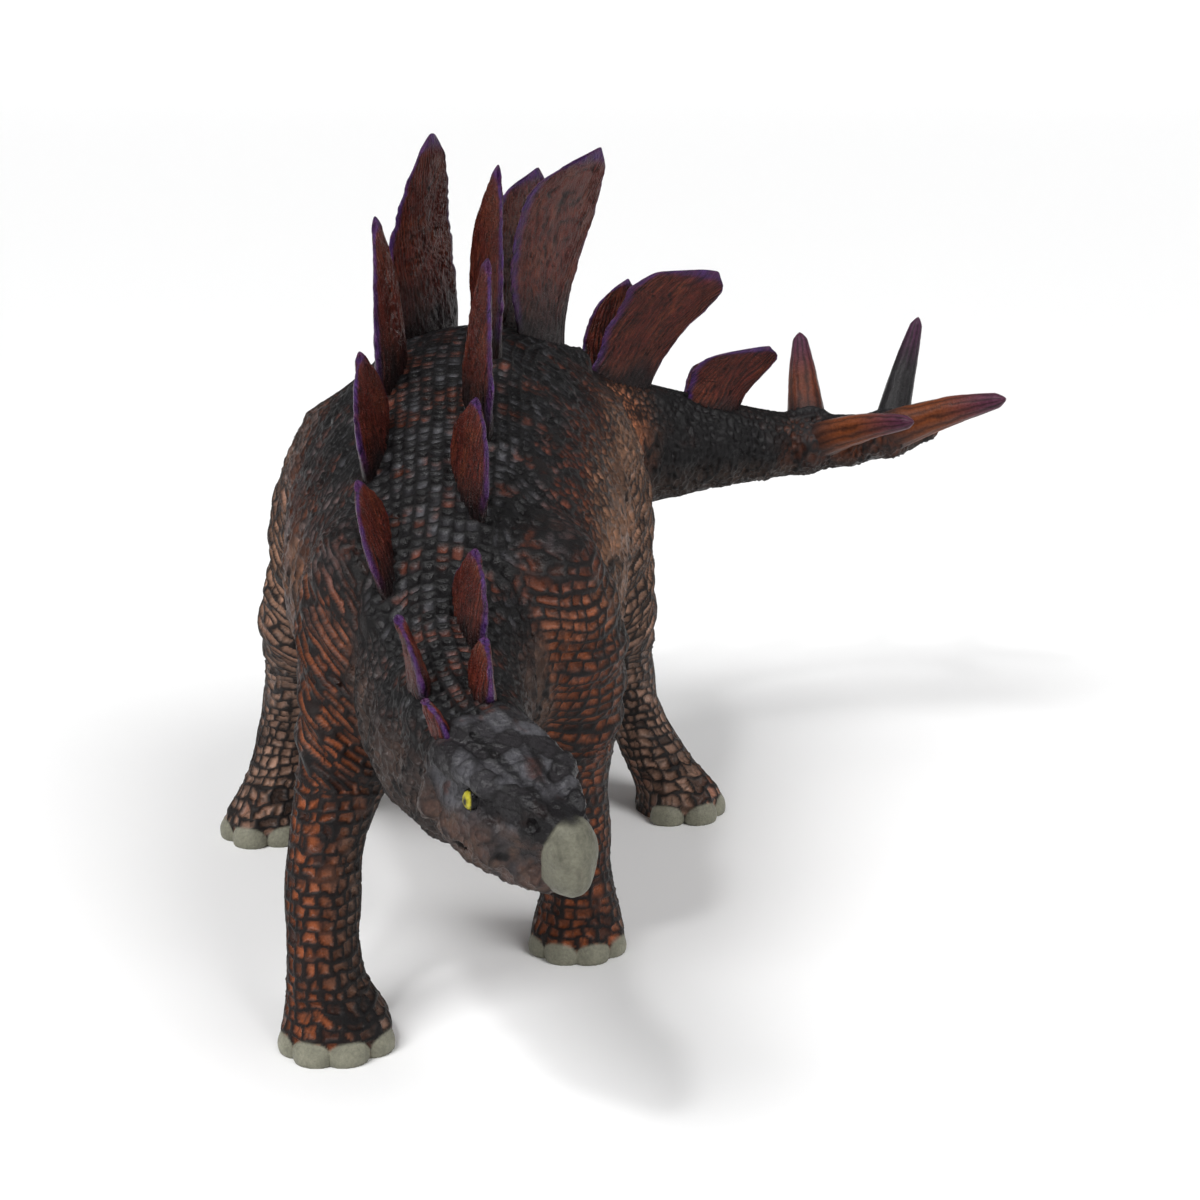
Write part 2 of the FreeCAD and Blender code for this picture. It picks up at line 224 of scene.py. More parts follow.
def noise3(p, size, seed=0):
    """Smooth value noise in -1..1."""
    q = p / size
    base = np.floor(q)
    f = q - base
    f = f * f * (3 - 2 * f)
    b = base.astype(np.int64)
    total = np.zeros(len(p), np.float32)
    for corner in np.ndindex(2, 2, 2):
        wx, wy, wz = (f[:, a] if corner[a] else 1 - f[:, a] for a in range(3))
        total += wx * wy * wz * hashed(*(b + corner).T, seed)
    return total * 2 - 1


def fractal(p, size, seed=0):
    """Three octaves of value noise, in -1..1."""
    total = 0
    for i in range(3):
        total = total + noise3(p, size / 2 ** i, seed + 17 * i) * 0.5 ** i
    return total / 1.75


def cells(u, v, jitter, seed):
    """Distances to the two nearest cell centres of a jittered 2-D lattice, and the nearest cell's number."""
    row = np.floor(v)
    first = np.full(len(u), 9.0, np.float32)
    second = first.copy()
    tag = np.zeros(len(u), np.float32)
    for dj in (-1, 0, 1):
        j = row + dj
        for di in (-1, 0, 1):
            i = np.floor(u) + di
            hx, hy, own = (hashed(i, j, j * 0, seed + k) for k in (0, 5, 9))
            d = np.hypot(u - (i + 0.5 + (hx - 0.5) * jitter), v - (j + 0.5 + (hy - 0.5) * jitter))
            closer = d < first
            second = np.where(closer, first, np.minimum(second, d))
            tag = np.where(closer, own, tag)
            first = np.where(closer, d, first)
    return first, second, tag


def bricks(u, v, long, tall, seed, around=None):
    """Distance in mm to the nearest crack of a pattern of uneven blocks, and the block's own number.

    u and v are in blocks, `long` and `tall` their size in mm; `around` closes the pattern round a limb."""
    row = np.floor(v)
    edge = np.minimum(v - row, row + 1 - v) * tall
    shift = u + hashed(row, row * 0, row * 0, seed)
    col = np.floor(shift)
    wrap = (lambda c: np.mod(c, around)) if around else (lambda c: c)
    lean = lambda c: (hashed(wrap(c), row, row * 0, seed + 1) - 0.5) * 0.55
    left, right = col + lean(col), col + 1 + lean(col + 1)
    own = col - (shift < left) + (shift > right)
    side = np.minimum(np.abs(shift - left), np.abs(shift - right)) * long
    return np.minimum(edge, side), hashed(wrap(own), row, row * 0, seed + 2)


# --- distance fields
def dense(table, count=240):
    """A Catmull-Rom curve through the rows of a table."""
    n = len(table)
    t = np.linspace(0, n - 1, count)
    i = np.minimum(t.astype(int), n - 2)
    f = (t - i)[:, None]
    p0, p1 = table[np.maximum(i - 1, 0)], table[i]
    p2, p3 = table[i + 1], table[np.minimum(i + 2, n - 1)]
    out = 0.5 * ((2 * p1) + (-p0 + p2) * f + (2 * p0 - 5 * p1 + 4 * p2 - p3) * f ** 2
                 + (-p0 + 3 * p1 - 3 * p2 + p3) * f ** 3)
    return f32(out)


TRUNK_LINE, TAIL_LINE = dense(TRUNK), dense(TAIL)
LEG_LINES = {name: dense(rows)[::-1] for name, rows in LEGS.items()}
SPINE = np.concatenate([dense(TRUNK[1:13], 160), dense(TAIL[2:], 120)[1:]])


def oval(x, y, a, b):
    k0 = np.sqrt((x / a) ** 2 + (y / b) ** 2) + 1e-6
    k1 = np.sqrt((x / a ** 2) ** 2 + (y / b ** 2) ** 2) + 1e-9
    return k0 * (k0 - 1) / k1


def trunk(p):
    t = TRUNK_LINE
    y = p[:, 1]
    at = [f32(np.interp(y, t[:, 1], t[:, c])) for c in (0, 2, 3, 4)]
    d = oval(p[:, 0] - at[0], p[:, 2] - at[1], at[3], at[2])
    return np.maximum(d, np.maximum(t[0, 1] - y, y - t[-1, 1]) - 1.0)


def tail(p):
    t = TAIL_LINE
    side = f32([-TAIL_AXIS[1], TAIL_AXIS[0], 0])
    u = t[:, :3] @ TAIL_AXIS
    v = t[:, :3] @ side
    pu, pv = p @ TAIL_AXIS, p @ side
    at = [f32(np.interp(pu, u, c)) for c in (v, t[:, 2], t[:, 3], t[:, 4])]
    step = np.gradient(v) / np.gradient(u)
    widen = f32(np.interp(pu, u, np.sqrt(1 + step ** 2)))
    d = oval(pv - at[0], p[:, 2] - at[1], at[3] * widen, at[2])
    return np.maximum(d, np.maximum(u[0] - pu, pu - u[-1]))


def leg(p, name):
    t = LEG_LINES[name]
    z = p[:, 2]
    at = [f32(np.interp(z, t[:, 2], t[:, c])) for c in (0, 1, 3, 4, 5)]
    a = np.radians(at[4])
    x, y = p[:, 0] - at[0], p[:, 1] - at[1]
    x, y = x * np.cos(a) + y * np.sin(a), -x * np.sin(a) + y * np.cos(a)
    d = oval(x, y, at[3], at[2])
    return np.maximum(d, z - t[-1, 2])


def blob(p, centre, half, heading=0, basis=None):
    q = p - f32(centre)
    q = q @ (basis if basis is not None else turn(heading))
    r = f32(half)
    k0 = np.sqrt(((q / r) ** 2).sum(1)) + 1e-6
    k1 = np.sqrt(((q / r ** 2) ** 2).sum(1)) + 1e-9
    return k0 * (k0 - 1) / k1


def strut(p, a, b, ra, rb):
    a, b = f32(a), f32(b)
    w = b - a
    t = np.clip(((p - a) @ w) / float(w @ w), 0, 1)
    return np.linalg.norm(p - a - t[:, None] * w, axis=1) - (ra + (rb - ra) * t)


def in_head(*at):
    return SKULL + HEAD @ f32(at)


def head_blob(p, at, half, nod=0.0):
    basis = HEAD
    if nod:
        c, s = math.cos(math.radians(nod)), math.sin(math.radians(nod))
        basis = HEAD @ f32([[c, 0, -s], [0, 1, 0], [s, 0, c]])
    return blob(p, in_head(*at), half, basis=basis)


def head_strut(p, a, b, ra, rb):
    return strut(p, in_head(*a), in_head(*b), ra, rb)


def beak(p):
    """The horny bill: tall, blunt in front, the lower half set back a little."""
    top = head_blob(p, (19.4, 0, -0.2), (6.2, 4.3, 5.4), 10)
    low = head_blob(p, (18.6, 0, -4.8), (5.8, 3.5, 4.0), 4)
    d = smin(top, low, 2.0)
    front = (p - in_head(24.0, 0, -1.0)) @ (HEAD @ f32([0.95, 0, 0.3]))
    return smax(d, front, 3.0)


# on each side of the skull: added (1) or cut away (-1), how widely it blends, then a blob's place, half sizes
# and nod, or a strut's two ends and two radii
FEATURES = [
    (1, 2.5, (1.0, 6.8, -3.4), (9.0, 4.2, 6.0), 0),  # cheek
    (1, 0.8, (-5.5, 8.0, 7.2), (5.6, 8.2, 6.9), 2.7, 2.3),  # brow ridge
    (1, 0.8, (6.0, 7.0, 6.8), (13.8, 4.4, 5.8), 2.0, 1.7),  # ridge down the snout to the nostril
    (1, 0.8, (14.6, 4.0, 5.2), (2.3, 1.9, 1.9), 0),
    (1, 0.8, (-8.0, 7.8, 7.0), (3.0, 2.4, 2.8), 0),  # knobs behind the brow and over the neck
    (1, 0.7, (-9.4, 3.6, 9.8), (3.0, 2.8, 2.8), 0),
    (1, 1.2, (-10.5, 7.0, 5.0), (-9.0, 9.6, -3.0), 1.9, 2.2),
    (1, 1.4, (-3.0, 10.0, -4.0), (8.5, 8.0, -5.4), 1.9, 1.4),
    (-1, 0.8, (2.2, 10.4, 3.2), (3.3, 2.2, 2.4), 0),  # eye socket
    (1, 0.7, (-1.2, 9.4, 1.1), (5.2, 8.7, 0.9), 1.0, 0.8),  # lower lid
    (-1, 0.8, (9.2, 8.2, 2.2), (3.4, 1.5, 1.8), -8),  # hollow before the eye
    (-1, 0.5, (15.8, 5.7, 3.4), (1.5, 1.3, 1.1), 20),  # nostril
    (-1, 0.5, (-6.5, 3.6, 10.9), (13.5, 2.5, 7.6), 0.95, 0.85),  # crown crease
    (-1, 0.6, (1.0, 10.9, -5.2), (17.5, 5.7, -3.8), 0.55, 0.45),  # mouth line
]


def on_side(side, at):
    """A place on the left of the head, or its mirror image on the right."""
    return at[0], side * at[1], at[2]


def feature(d, p, side, sign, k, a, b, *rest):
    if len(rest) == 2:
        shape = head_strut(p, on_side(side, a), on_side(side, b), *rest)
    else:
        shape = head_blob(p, on_side(side, a), b, *rest)
    return smin(d, shape, k) if sign > 0 else smax(d, -shape, k)


def skull(p):
    d = head_blob(p, (-2.0, 0, 1.0), (14.5, 10.4, 10.4))
    d = smin(d, head_blob(p, (10.0, 0, 0.8), (11.0, 6.8, 7.2), 10), 4)
    d = smin(d, head_blob(p, (4.5, 0, -7.6), (15.0, 7.2, 4.6), 2), 3)
    # flat crown between the brows
    crown = (p - in_head(4.0, 0, 8.4)) @ (HEAD @ f32([0.2, 0, 0.98]))
    d = smax(d, crown, 2.0)
    for side in (-1, 1):
        for row in FEATURES:
            d = feature(d, p, side, *row)
    for x, z in ((-6.8, 10.4), (0.5, 9.4), (6.8, 8.3), (12.2, 7.2)):
        d = smax(d, -head_strut(p, (x, -3.4, z), (x + 0.8, 3.4, z), 0.7, 0.7), 0.5)
    d = smin(d, beak(p), 0.6)
    for side in (-1, 1):
        eye = np.linalg.norm(p - in_head(*on_side(side, EYE)), axis=1) - 1.9
        d = smin(d, eye, 0.2)
    return d


def toes(p, name):
    """The toes and the nails of one foot."""
    x, y = LEGS[name][-1][:2]
    flesh, nail = None, None
    for bearing, reach, r in TOES[name]:
        a = math.radians(bearing + FOOT_AIM[name])
        ax, ay = math.sin(a), -math.cos(a)
        root = (x + ax * reach * 0.4, y + ay * reach * 0.4, 7.4)
        end = (x + ax * (reach - r * 0.3), y + ay * (reach - r * 0.3), r * 0.95)
        d = strut(p, root, end, r * 1.05, r * 0.95)
        flesh = d if flesh is None else smin(flesh, d, 1.6)
        centre = (x + ax * (reach + r * 0.28), y + ay * (reach + r * 0.28), 1.6)
        d = blob(p, centre, (r * 0.92, r * 0.66, r * 0.86), bearing + FOOT_AIM[name])
        nail = d if nail is None else np.minimum(nail, d)
    return flesh, nail


def near(p, centre, reach):
    """Whether a feature can matter inside this cloud of points."""
    low, high = p.min(0) - reach, p.max(0) + reach
    return bool(((np.array(centre) > low) & (np.array(centre) < high)).all())


def touches(p, name, margin=15.0):
    """Whether this cloud of points comes near the box that holds a piece."""
    low, high = EXTENT[name]
    return bool((p.max(0) > np.array(low) - margin).all() and (p.min(0) < np.array(high) + margin).all())


def limb(p, name):
    d = leg(p, name)
    for centre, half, heading, k in LUMPS[name]:
        d = smin(d, blob(p, centre, half, heading), k)
    flesh, nail = toes(p, name)
    return smin(d, flesh, 3.0), nail


def ridge_height(at):
    """Height of the top of the body over a place, from the tables."""
    at = np.asarray(at, np.float32)
    if at[1] > 40 or at[0] > 26:
        t = TAIL_LINE
        return float(np.interp(at @ TAIL_AXIS, t[:, :3] @ TAIL_AXIS, t[:, 2] + t[:, 3]))
    t = TRUNK_LINE
    return float(np.interp(at[1], t[:, 1], t[:, 2] + t[:, 3]))


def plate_foot(row):
    """The two ends of the line where a plate meets the back."""
    x, y, z, chord, _height, _sweep, heading, _lean = row
    ends = []
    for sign in (-1, 1):
        way = turn(heading) @ f32([0, sign * chord * 0.36, 0])
        drop = ridge_height((x + way[0], y + way[1], 0)) - ridge_height((x, y, 0))
        ends.append((x + way[0], y + way[1], z - 2.6 + max(drop, -8.0)))
    return ends


def figure(p, parts=False):
    """Distance to the skin of the whole figure, without its plates and spikes."""
    body = trunk(p)
    if touches(p, "tail", 20):
        body = smin(body, tail(p), 2.5)
    if near(p, SKULL, 38):
        body = smin(body, skull(p), 4.0)
    limbs, nails = {}, None
    for name in LEGS:
        if touches(p, name):
            limbs[name], nail = limb(p, name)
            nails = nail if nails is None else np.minimum(nails, nail)
    d = body
    for name, value in limbs.items():
        d = smin(d, value, 6.0 if name.startswith("fore") else 9.0)
    for row in PLATES.values():
        if near(p, row[:3], 28):
            r = 2.4 + 1.5 * min(1.0, row[4] / 30)
            front, rear = plate_foot(row)
            d = smin(d, strut(p, front, rear, r, r * 1.1), 3.0)
    for root, _tip, r in SPIKES.values():
        if near(p, root, 16):
            d = smin(d, blob(p, root, (r * 1.25, r * 1.25, r * 1.15)), 2.0)
    if nails is not None:
        d = smin(d, nails, 0.4)
    d = np.maximum(d, -p[:, 2])
    return (d, body, limbs, nails) if parts else d


# --- which piece owns which stretch of skin
def plane(p, row, heading, tilt, sign):
    a, t = math.radians(heading), math.radians(tilt)
    n = turn(heading) @ f32([0, math.cos(t), math.sin(t)])
    return ((p - f32(row[:3])) @ n) * sign


OVERLAP = 1.8


def leg_share(p, name, grow):
    """Negative where a leg's own skin is: round the leg, outside the trunk."""
    own = leg(p, name)
    for centre, half, heading, k in LUMPS[name][:1]:
        own = smin(own, blob(p, centre, half, heading), k)
    return np.maximum(own - 5.0, -(trunk(p) + 3.4)) - grow


def share(p, name, grow=OVERLAP):
    if name in LEGS:
        return leg_share(p, name, grow)
    neck = plane(p, TRUNK[6], 0, 20, 1)
    rump = plane(p, TRUNK[13], -24, -8, -1)
    if name == "head_neck":
        return np.maximum(neck, -60.0) - grow
    if name == "tail":
        return rump - grow
    d = np.maximum(-neck, -rump)
    for other in LEGS:
        if touches(p, other):
            d = np.maximum(d, -leg_share(p, other, 0.0))
    return d - grow


EXTENT = {
    "torso": ((-50, -136, 30), (48, 46, 138)),
    "head_neck": ((-24, -206, 44), (44, -110, 108)),
    "tail": ((-26, 10, 52), (136, 104, 126)),
    "foreleg_right": ((-46, -150, -1), (-2, -72, 112)),
    "foreleg_left": ((2, -124, -1), (44, -62, 112)),
    "hindleg_right": ((-76, -42, -1), (-8, 30, 126)),
    "hindleg_left": ((4, -38, -1), (74, 40, 126)),
}
VOXEL = {"torso": 0.6, "head_neck": 0.38, "tail": 0.5}
BLOCK = 4


def skin_mesh(name):
    """Close the skin of one piece into a mesh, working only in the blocks of space that it passes through."""
    low, high = (f32(v) for v in EXTENT[name])
    step = VOXEL.get(name, 0.45) * 1.0
    low = np.floor(low / step) * step
    n = np.ceil((high - low) / step / BLOCK).astype(int) * BLOCK
    band = 3 * step
    b = np.stack(np.meshgrid(*(np.arange(k // BLOCK) for k in n), indexing="ij"), -1).reshape(-1, 3)
    group = b // 6
    key = (group[:, 0] * 1000 + group[:, 1]) * 1000 + group[:, 2]
    order = np.argsort(key, kind="stable")
    b, key = b[order], key[order]
    cuts = np.flatnonzero(np.diff(key)) + 1
    inner = np.stack(np.meshgrid(*([np.arange(BLOCK)] * 3), indexing="ij"), -1).reshape(-1, 3)
    volume = np.empty(n, np.float32)
    for some in np.split(b, cuts):
        middle = f32(some * BLOCK + (BLOCK - 1) / 2) * step + low
        d = np.maximum(figure(middle), share(middle, name))
        coarse = np.clip(d, -band, band)
        close = np.abs(d) < BLOCK * step * 1.25 + 1.2
        for i, j, k, value in zip(*(some[~close] * BLOCK).T, coarse[~close]):
            volume[i:i + BLOCK, j:j + BLOCK, k:k + BLOCK] = value
        if close.any():
            cell = (some[close][:, None] * BLOCK + inner[None]).reshape(-1, 3)
            g = f32(cell) * step + low
            value = np.maximum(figure(g), share(g, name))
            volume[cell[:, 0], cell[:, 1], cell[:, 2]] = np.clip(value, -band, band)
    volume[0], volume[-1] = step, step
    volume[:, 0], volume[:, -1] = step, step
    volume[:, :, -1] = step
    grid = vdb.FloatGrid(band)
    grid.copyFromArray(volume)
    points, quads = grid.convertToQuads(0.0)
    verts = f32(points) * step + low
    return verts, np.asarray(quads, np.int64)[:, ::-1]


def normals_of(v, q):
    n = np.cross(v[q[:, 2]] - v[q[:, 0]], v[q[:, 3]] - v[q[:, 1]])
    out = np.zeros_like(v)
    for c in range(4):
        for a in range(3):
            out[:, a] += np.bincount(q[:, c], n[:, a], len(v))
    return out / (np.linalg.norm(out, axis=1, keepdims=True) + 1e-9)


# --- skin relief and paint
def blend(a, b, w):
    return a * (1 - w) + b * w


def mix(a, b, w):
    """Colour a turning into colour b by the share w; a and b are one colour or one for each point."""
    return a + (b - a) * w[:, None]


def coats(colour, *layers):
    """Paints laid one over another, each with its share."""
    for paint, share in layers:
        colour = mix(colour, paint, share)
    return colour


BATCH = 20000


def spine_map(p):
    """Length along the spine, and signed distance round the body from the ridge of the back."""
    c = SPINE[:, :3]
    run = f32(np.concatenate([[0], np.cumsum(np.linalg.norm(np.diff(c, axis=0), axis=1))]))
    flat = np.gradient(c, axis=0)
    flat[:, 2] = 0
    flat /= np.linalg.norm(flat, axis=1, keepdims=True)
    out = np.empty((4, len(p)), np.float32)
    for i in range(0, len(p), BATCH):
        q = p[i:i + BATCH]
        k = ((q[:, None, :2] - c[None, :, :2]) ** 2).sum(2).argmin(1)
        rel, way = q - c[k], flat[k]
        out[:, i:i + BATCH] = (run[k] + (rel * way).sum(1), rel[:, 0] * way[:, 1] - rel[:, 1] * way[:, 0],
                               rel[:, 2], (SPINE[k, 3] + SPINE[k, 4]) / 2)
    s, side, rise, size = out
    return s, np.arctan2(side, rise), size


BLACK = f32((0.0045, 0.004, 0.0045))
BACK = f32((0.015, 0.0135, 0.015))
SLATE = f32((0.056, 0.055, 0.061))
RED = f32((0.13, 0.032, 0.015))
ORANGE = f32((0.225, 0.058, 0.018))
TAN = f32((0.29, 0.15, 0.09))
TAUPE = f32((0.185, 0.108, 0.076))
PINK = f32((0.16, 0.09, 0.072))
BONE = f32((0.2, 0.195, 0.148))
MAROON = f32((0.082, 0.014, 0.009))
VIOLET = f32((0.046, 0.016, 0.092))
YELLOW = f32((0.5, 0.44, 0.035))
PAINT_DEPTH = 0.86


def crinkle(p, size, tall, seed):
    """Fine wandering creases that run mostly up and down: 1 in a crease."""
    q = p * f32([1, 1, 1 / tall])
    n = 0.7 * noise3(q, size, seed) + 0.3 * noise3(q, size * 0.45, seed + 1)
    return fade(0.0, 0.16, np.abs(n))


def limb_skin(p, name, warp, warp2):
    """Blocky scales with deep cracks; long slanting folds on the upper arm and thigh; rings at the joints."""
    t = LEG_LINES[name]
    cx, cy = (f32(np.interp(p[:, 2], t[:, 2], t[:, c])) for c in (0, 1))
    a = np.arctan2(p[:, 0] - cx, -(p[:, 1] - cy))
    hind = name.startswith("hind")
    side = -1.0 if name.endswith("right") else 1.0
    z = p[:, 2]
    seed = 60 + len(name)
    # lower leg: upright blocks, uneven in size
    count = 19
    tiny = noise3(p, 1.7, seed + 40)
    u = a / (2 * math.pi) * count + 0.4 * warp + 0.2 * warp2 + 0.13 * tiny
    v = z / 2.55 + 0.55 * warp2 + 0.3 * noise3(p, 2.8, 5) + 0.12 * noise3(p, 1.5, seed + 41)
    low, tag_low = bricks(u, v, 2.7, 2.55, seed, around=count)
    # upper limb: folds that slant down across the front, split into long blocks
    slope = {"foreleg_right": 0.85, "foreleg_left": 0.18, "hindleg_right": 0.35, "hindleg_left": -0.35}[name]
    run = z + p[:, 0] * slope - (p[:, 1] - cy) * (0.34 if hind else 0.22)
    along = p[:, 1] * 0.8 + p[:, 0] * 0.8 - z * 0.35
    v = run / 2.25 + 0.95 * fractal(p, 14, seed + 44) + 0.16 * noise3(p, 2.6, 6)
    u = along / 3.9 + 0.45 * warp2 + 0.12 * tiny
    high, tag_high = bricks(u, v, 3.9, 2.25, seed + 20)
    joint = 47 if hind else 52
    upper = smooth(joint - 2, joint + 4, z + 2.0 * warp)
    gap_mm = np.where(upper > 0.5, high, low)
    tag = np.where(upper > 0.5, tag_high, tag_low)
    wide = np.clip(0.22 + 0.2 * warp2 + 0.12 * tiny + 0.1 * (not hind), 0.05, 0.55)
    gap = fade(wide, wide + 0.38, gap_mm)
    gap *= 1 - 0.4 * smooth(0.66, 0.86, noise3(p, 3.0, seed + 3) * 0.5 + 0.5)
    gap = np.maximum(gap, crinkle(p, 2.6, 2.6, seed + 50) * 0.55)
    # rings of folded skin at the joint and the ankle
    at = np.exp(-((z - joint) / 4.5) ** 2) + 0.8 * np.exp(-((z - 12.5) / 3.5) ** 2)
    ring = np.abs(np.mod((z + 0.25 * (p[:, 1] - cy)) / 3.0 + 0.55 * warp, 1.0) - 0.5) * 2
    fold = fade(0.0, 0.42, ring) * np.clip(at, 0, 1)
    gap = np.maximum(gap, fold * (0.65 + 0.3 * smooth(20, 40, z)))
    rise = 0.34 * smooth(0.0, 1.1, gap_mm) + 0.42 * (1 - gap) - 0.35 * fold
    # broad folds under the blocks of the upper limb
    swell = np.sin((run / 9.5 + 0.35 * warp) * 2 * math.pi)
    rise += 0.55 * swell * upper * fade(88, 102, z)
    # paint
    if hind:
        colour = coats(TAUPE * (1.6 if side < 0 else 1.45),
                       (RED * 1.9, smooth(0.0, 0.8, fractal(p, 10, 70)) * 0.5),
                       (TAN * 1.2, smooth(45, 80, z) * 0.6))
    else:
        lit = smooth(-2.6, -1.9, a) * fade(-0.2, 1.1, a) if side < 0 else \
            smooth(-0.3, 0.5, np.cos(a)) * (1 - 0.85 * smooth(0.7, 1.4, a + 0.3 * warp))
        colour = coats(TAUPE * 0.95, (ORANGE, np.clip(lit + 0.3 * warp, 0, 1) * 0.95),
                       (RED, smooth(0.0, 0.8, fractal(p, 8, 71)) * 0.55))
    dark = smooth(0.1, 0.5, fractal(p, 5.0, 80 + seed) + 0.3 * (tag - 0.5)) * (0.4 if hind else 0.72)
    dark = np.maximum(dark, fade(0.05, 0.16, tag) * 0.75)
    return rise, gap, tag, mix(colour, BACK * 0.8, dark)


def trunk_skin(p, warp, warp2):
    """Rows of square scales along the ridge, pebbles on the flanks, upright wrinkles low on the sides."""
    s, angle, size = spine_map(p)
    arc = angle * size
    lap = np.abs(angle)
    top = fade(0.3, 0.52, lap + 0.06 * warp)
    pitch = 2.15 + 0.35 * smooth(14, 34, size)
    tiny = noise3(p, 1.6, 44)
    ridge, tag_a = bricks(s / pitch + 0.26 * warp2 + 0.1 * tiny, arc / (pitch * 1.1) + 0.5 + 0.22 * warp,
                          2.3, 2.4, 11)
    f1, f2, tag_b = cells((arc + 1.8 * warp) / (pitch * 1.15), (s + 1.8 * warp2) / (pitch * 0.95), 0.95, 23)
    pebble = (f2 - f1) * pitch * 0.52
    gap_mm = ridge * top + pebble * (1 - top)
    tag = np.where(top > 0.5, tag_a, tag_b)
    gap = fade(0.14, 0.62, gap_mm)
    gap = np.maximum(gap, crinkle(p, 3.4, 1.6, 46) * smooth(0.3, 0.6, lap) * 0.85)
    gap = np.maximum(gap, crinkle(p, 2.4, 1.0, 48) * 0.45)
    rise = 0.4 * smooth(0.0, 1.05, gap_mm) + 0.46 * (1 - gap)
    # raised knobs scattered over the shoulders
    g1, _g2, tag_k = cells(arc / 5.6 + 0.4 * warp, s / 5.6 + 0.4 * warp2, 0.7, 37)
    rise += 0.65 * fade(0.1, 0.34, g1) * smooth(0.55, 0.65, tag_k) * (1 - top)
    # wrinkles: they hang down the flank and gather towards the belly
    flank = smooth(0.95, 1.35, lap) * fade(2.6, 2.95, lap)
    groove = np.maximum(crinkle(p, 3.0, 5.0, 31), 0.8 * crinkle(p, 1.9, 6.0, 32)) * flank
    rise -= 0.42 * groove
    gap = np.maximum(gap * (1 - 0.5 * flank), groove * 0.95)
    broad = np.sin((s / 13.0 + 0.5 * fractal(p, 26, 33)) * 2 * math.pi)
    rise += (0.7 * broad * flank + 0.6 * fractal(p, 8.0, 40)) * smooth(0.5, 1.0, lap)
    # paint: near-black back fading through red-brown and tan flanks to a grey-brown belly
    left = smooth(-0.1, 0.3, angle) * smooth(-100, -70, p[:, 1])
    right = smooth(0.5, 0.9, -angle) * fade(1.7, 2.1, lap) * smooth(-0.1, 0.5, fractal(p, 11, 59) + 0.35)
    low = lap + 0.34 * fractal(p, 12, 21) + 0.12 * (tag - 0.5) + 0.2 * left
    rust = smooth(0.08, 0.42, fractal(p, 5.5, 52) + 0.5 * (tag - 0.5))
    slate = coats(BACK * 0.6, (SLATE * 0.95, smooth(0.3, 0.95, tag + 0.35 * fractal(p, 7, 53))),
                  (RED * 0.75, rust * 0.8))
    colour = coats(RED, (TAN, smooth(0.95, 1.55, low) * 0.85),
                   (ORANGE, smooth(0.2, 0.9, fractal(p, 9, 50)) * 0.6),
                   (TAUPE, smooth(1.8, 2.4, lap)),
                   (TAN * 1.25, left * smooth(1.0, 1.5, low) * (0.35 + 0.35 * (1 - groove))),
                   (SLATE * 1.7 + TAN * 0.12, right * 0.8 * smooth(0.15, 0.7, tag)),
                   (SLATE * 0.36 + TAUPE * 0.12, fade(-126, -104, p[:, 1]) * 0.8),
                   (slate, fade(0.72, 1.08, low)))
    return rise, gap, tag, colour, s, lap


def tail_paint(p, s, lap, colour):
    """Dark tail with an orange patch behind the hip and orange sides near the tip."""
    run = smooth(214, 232, s + 6 * fractal(p, 9, 54))
    dark = coats(BACK * 0.8, (RED * 0.5, smooth(0.1, 0.8, fractal(p, 9, 55)) * 0.6),
                 (TAUPE * 0.45, smooth(1.7, 2.4, lap) * 0.7))
    end = smooth(296, 318, s + 10 * fractal(p, 7, 57)) * smooth(0.25, 0.8, lap) * fade(1.9, 2.5, lap)
    return coats(colour, (dark, run), (ORANGE, end * 0.8))


def hip_patch_with_painted_light(p, colour):
    """An orange patch of paint in the fold between the hip and the tail, made lighter than the paint: painted
    light over the shade of the fold.
    """
    patch = np.exp(-(((p - np.array([39, 38, 99])) / np.array([5.5, 12.0, 13.0])) ** 2).sum(1))
    # the orange is brightened past its paint, a painted light where the fold lies in shade
    orange_with_painted_light = ORANGE * 1.5 + TAN
    return mix(colour, orange_with_painted_light, np.clip(patch * 1.9 + 0.6 * fractal(p, 4, 58) * patch, 0, 0.9))


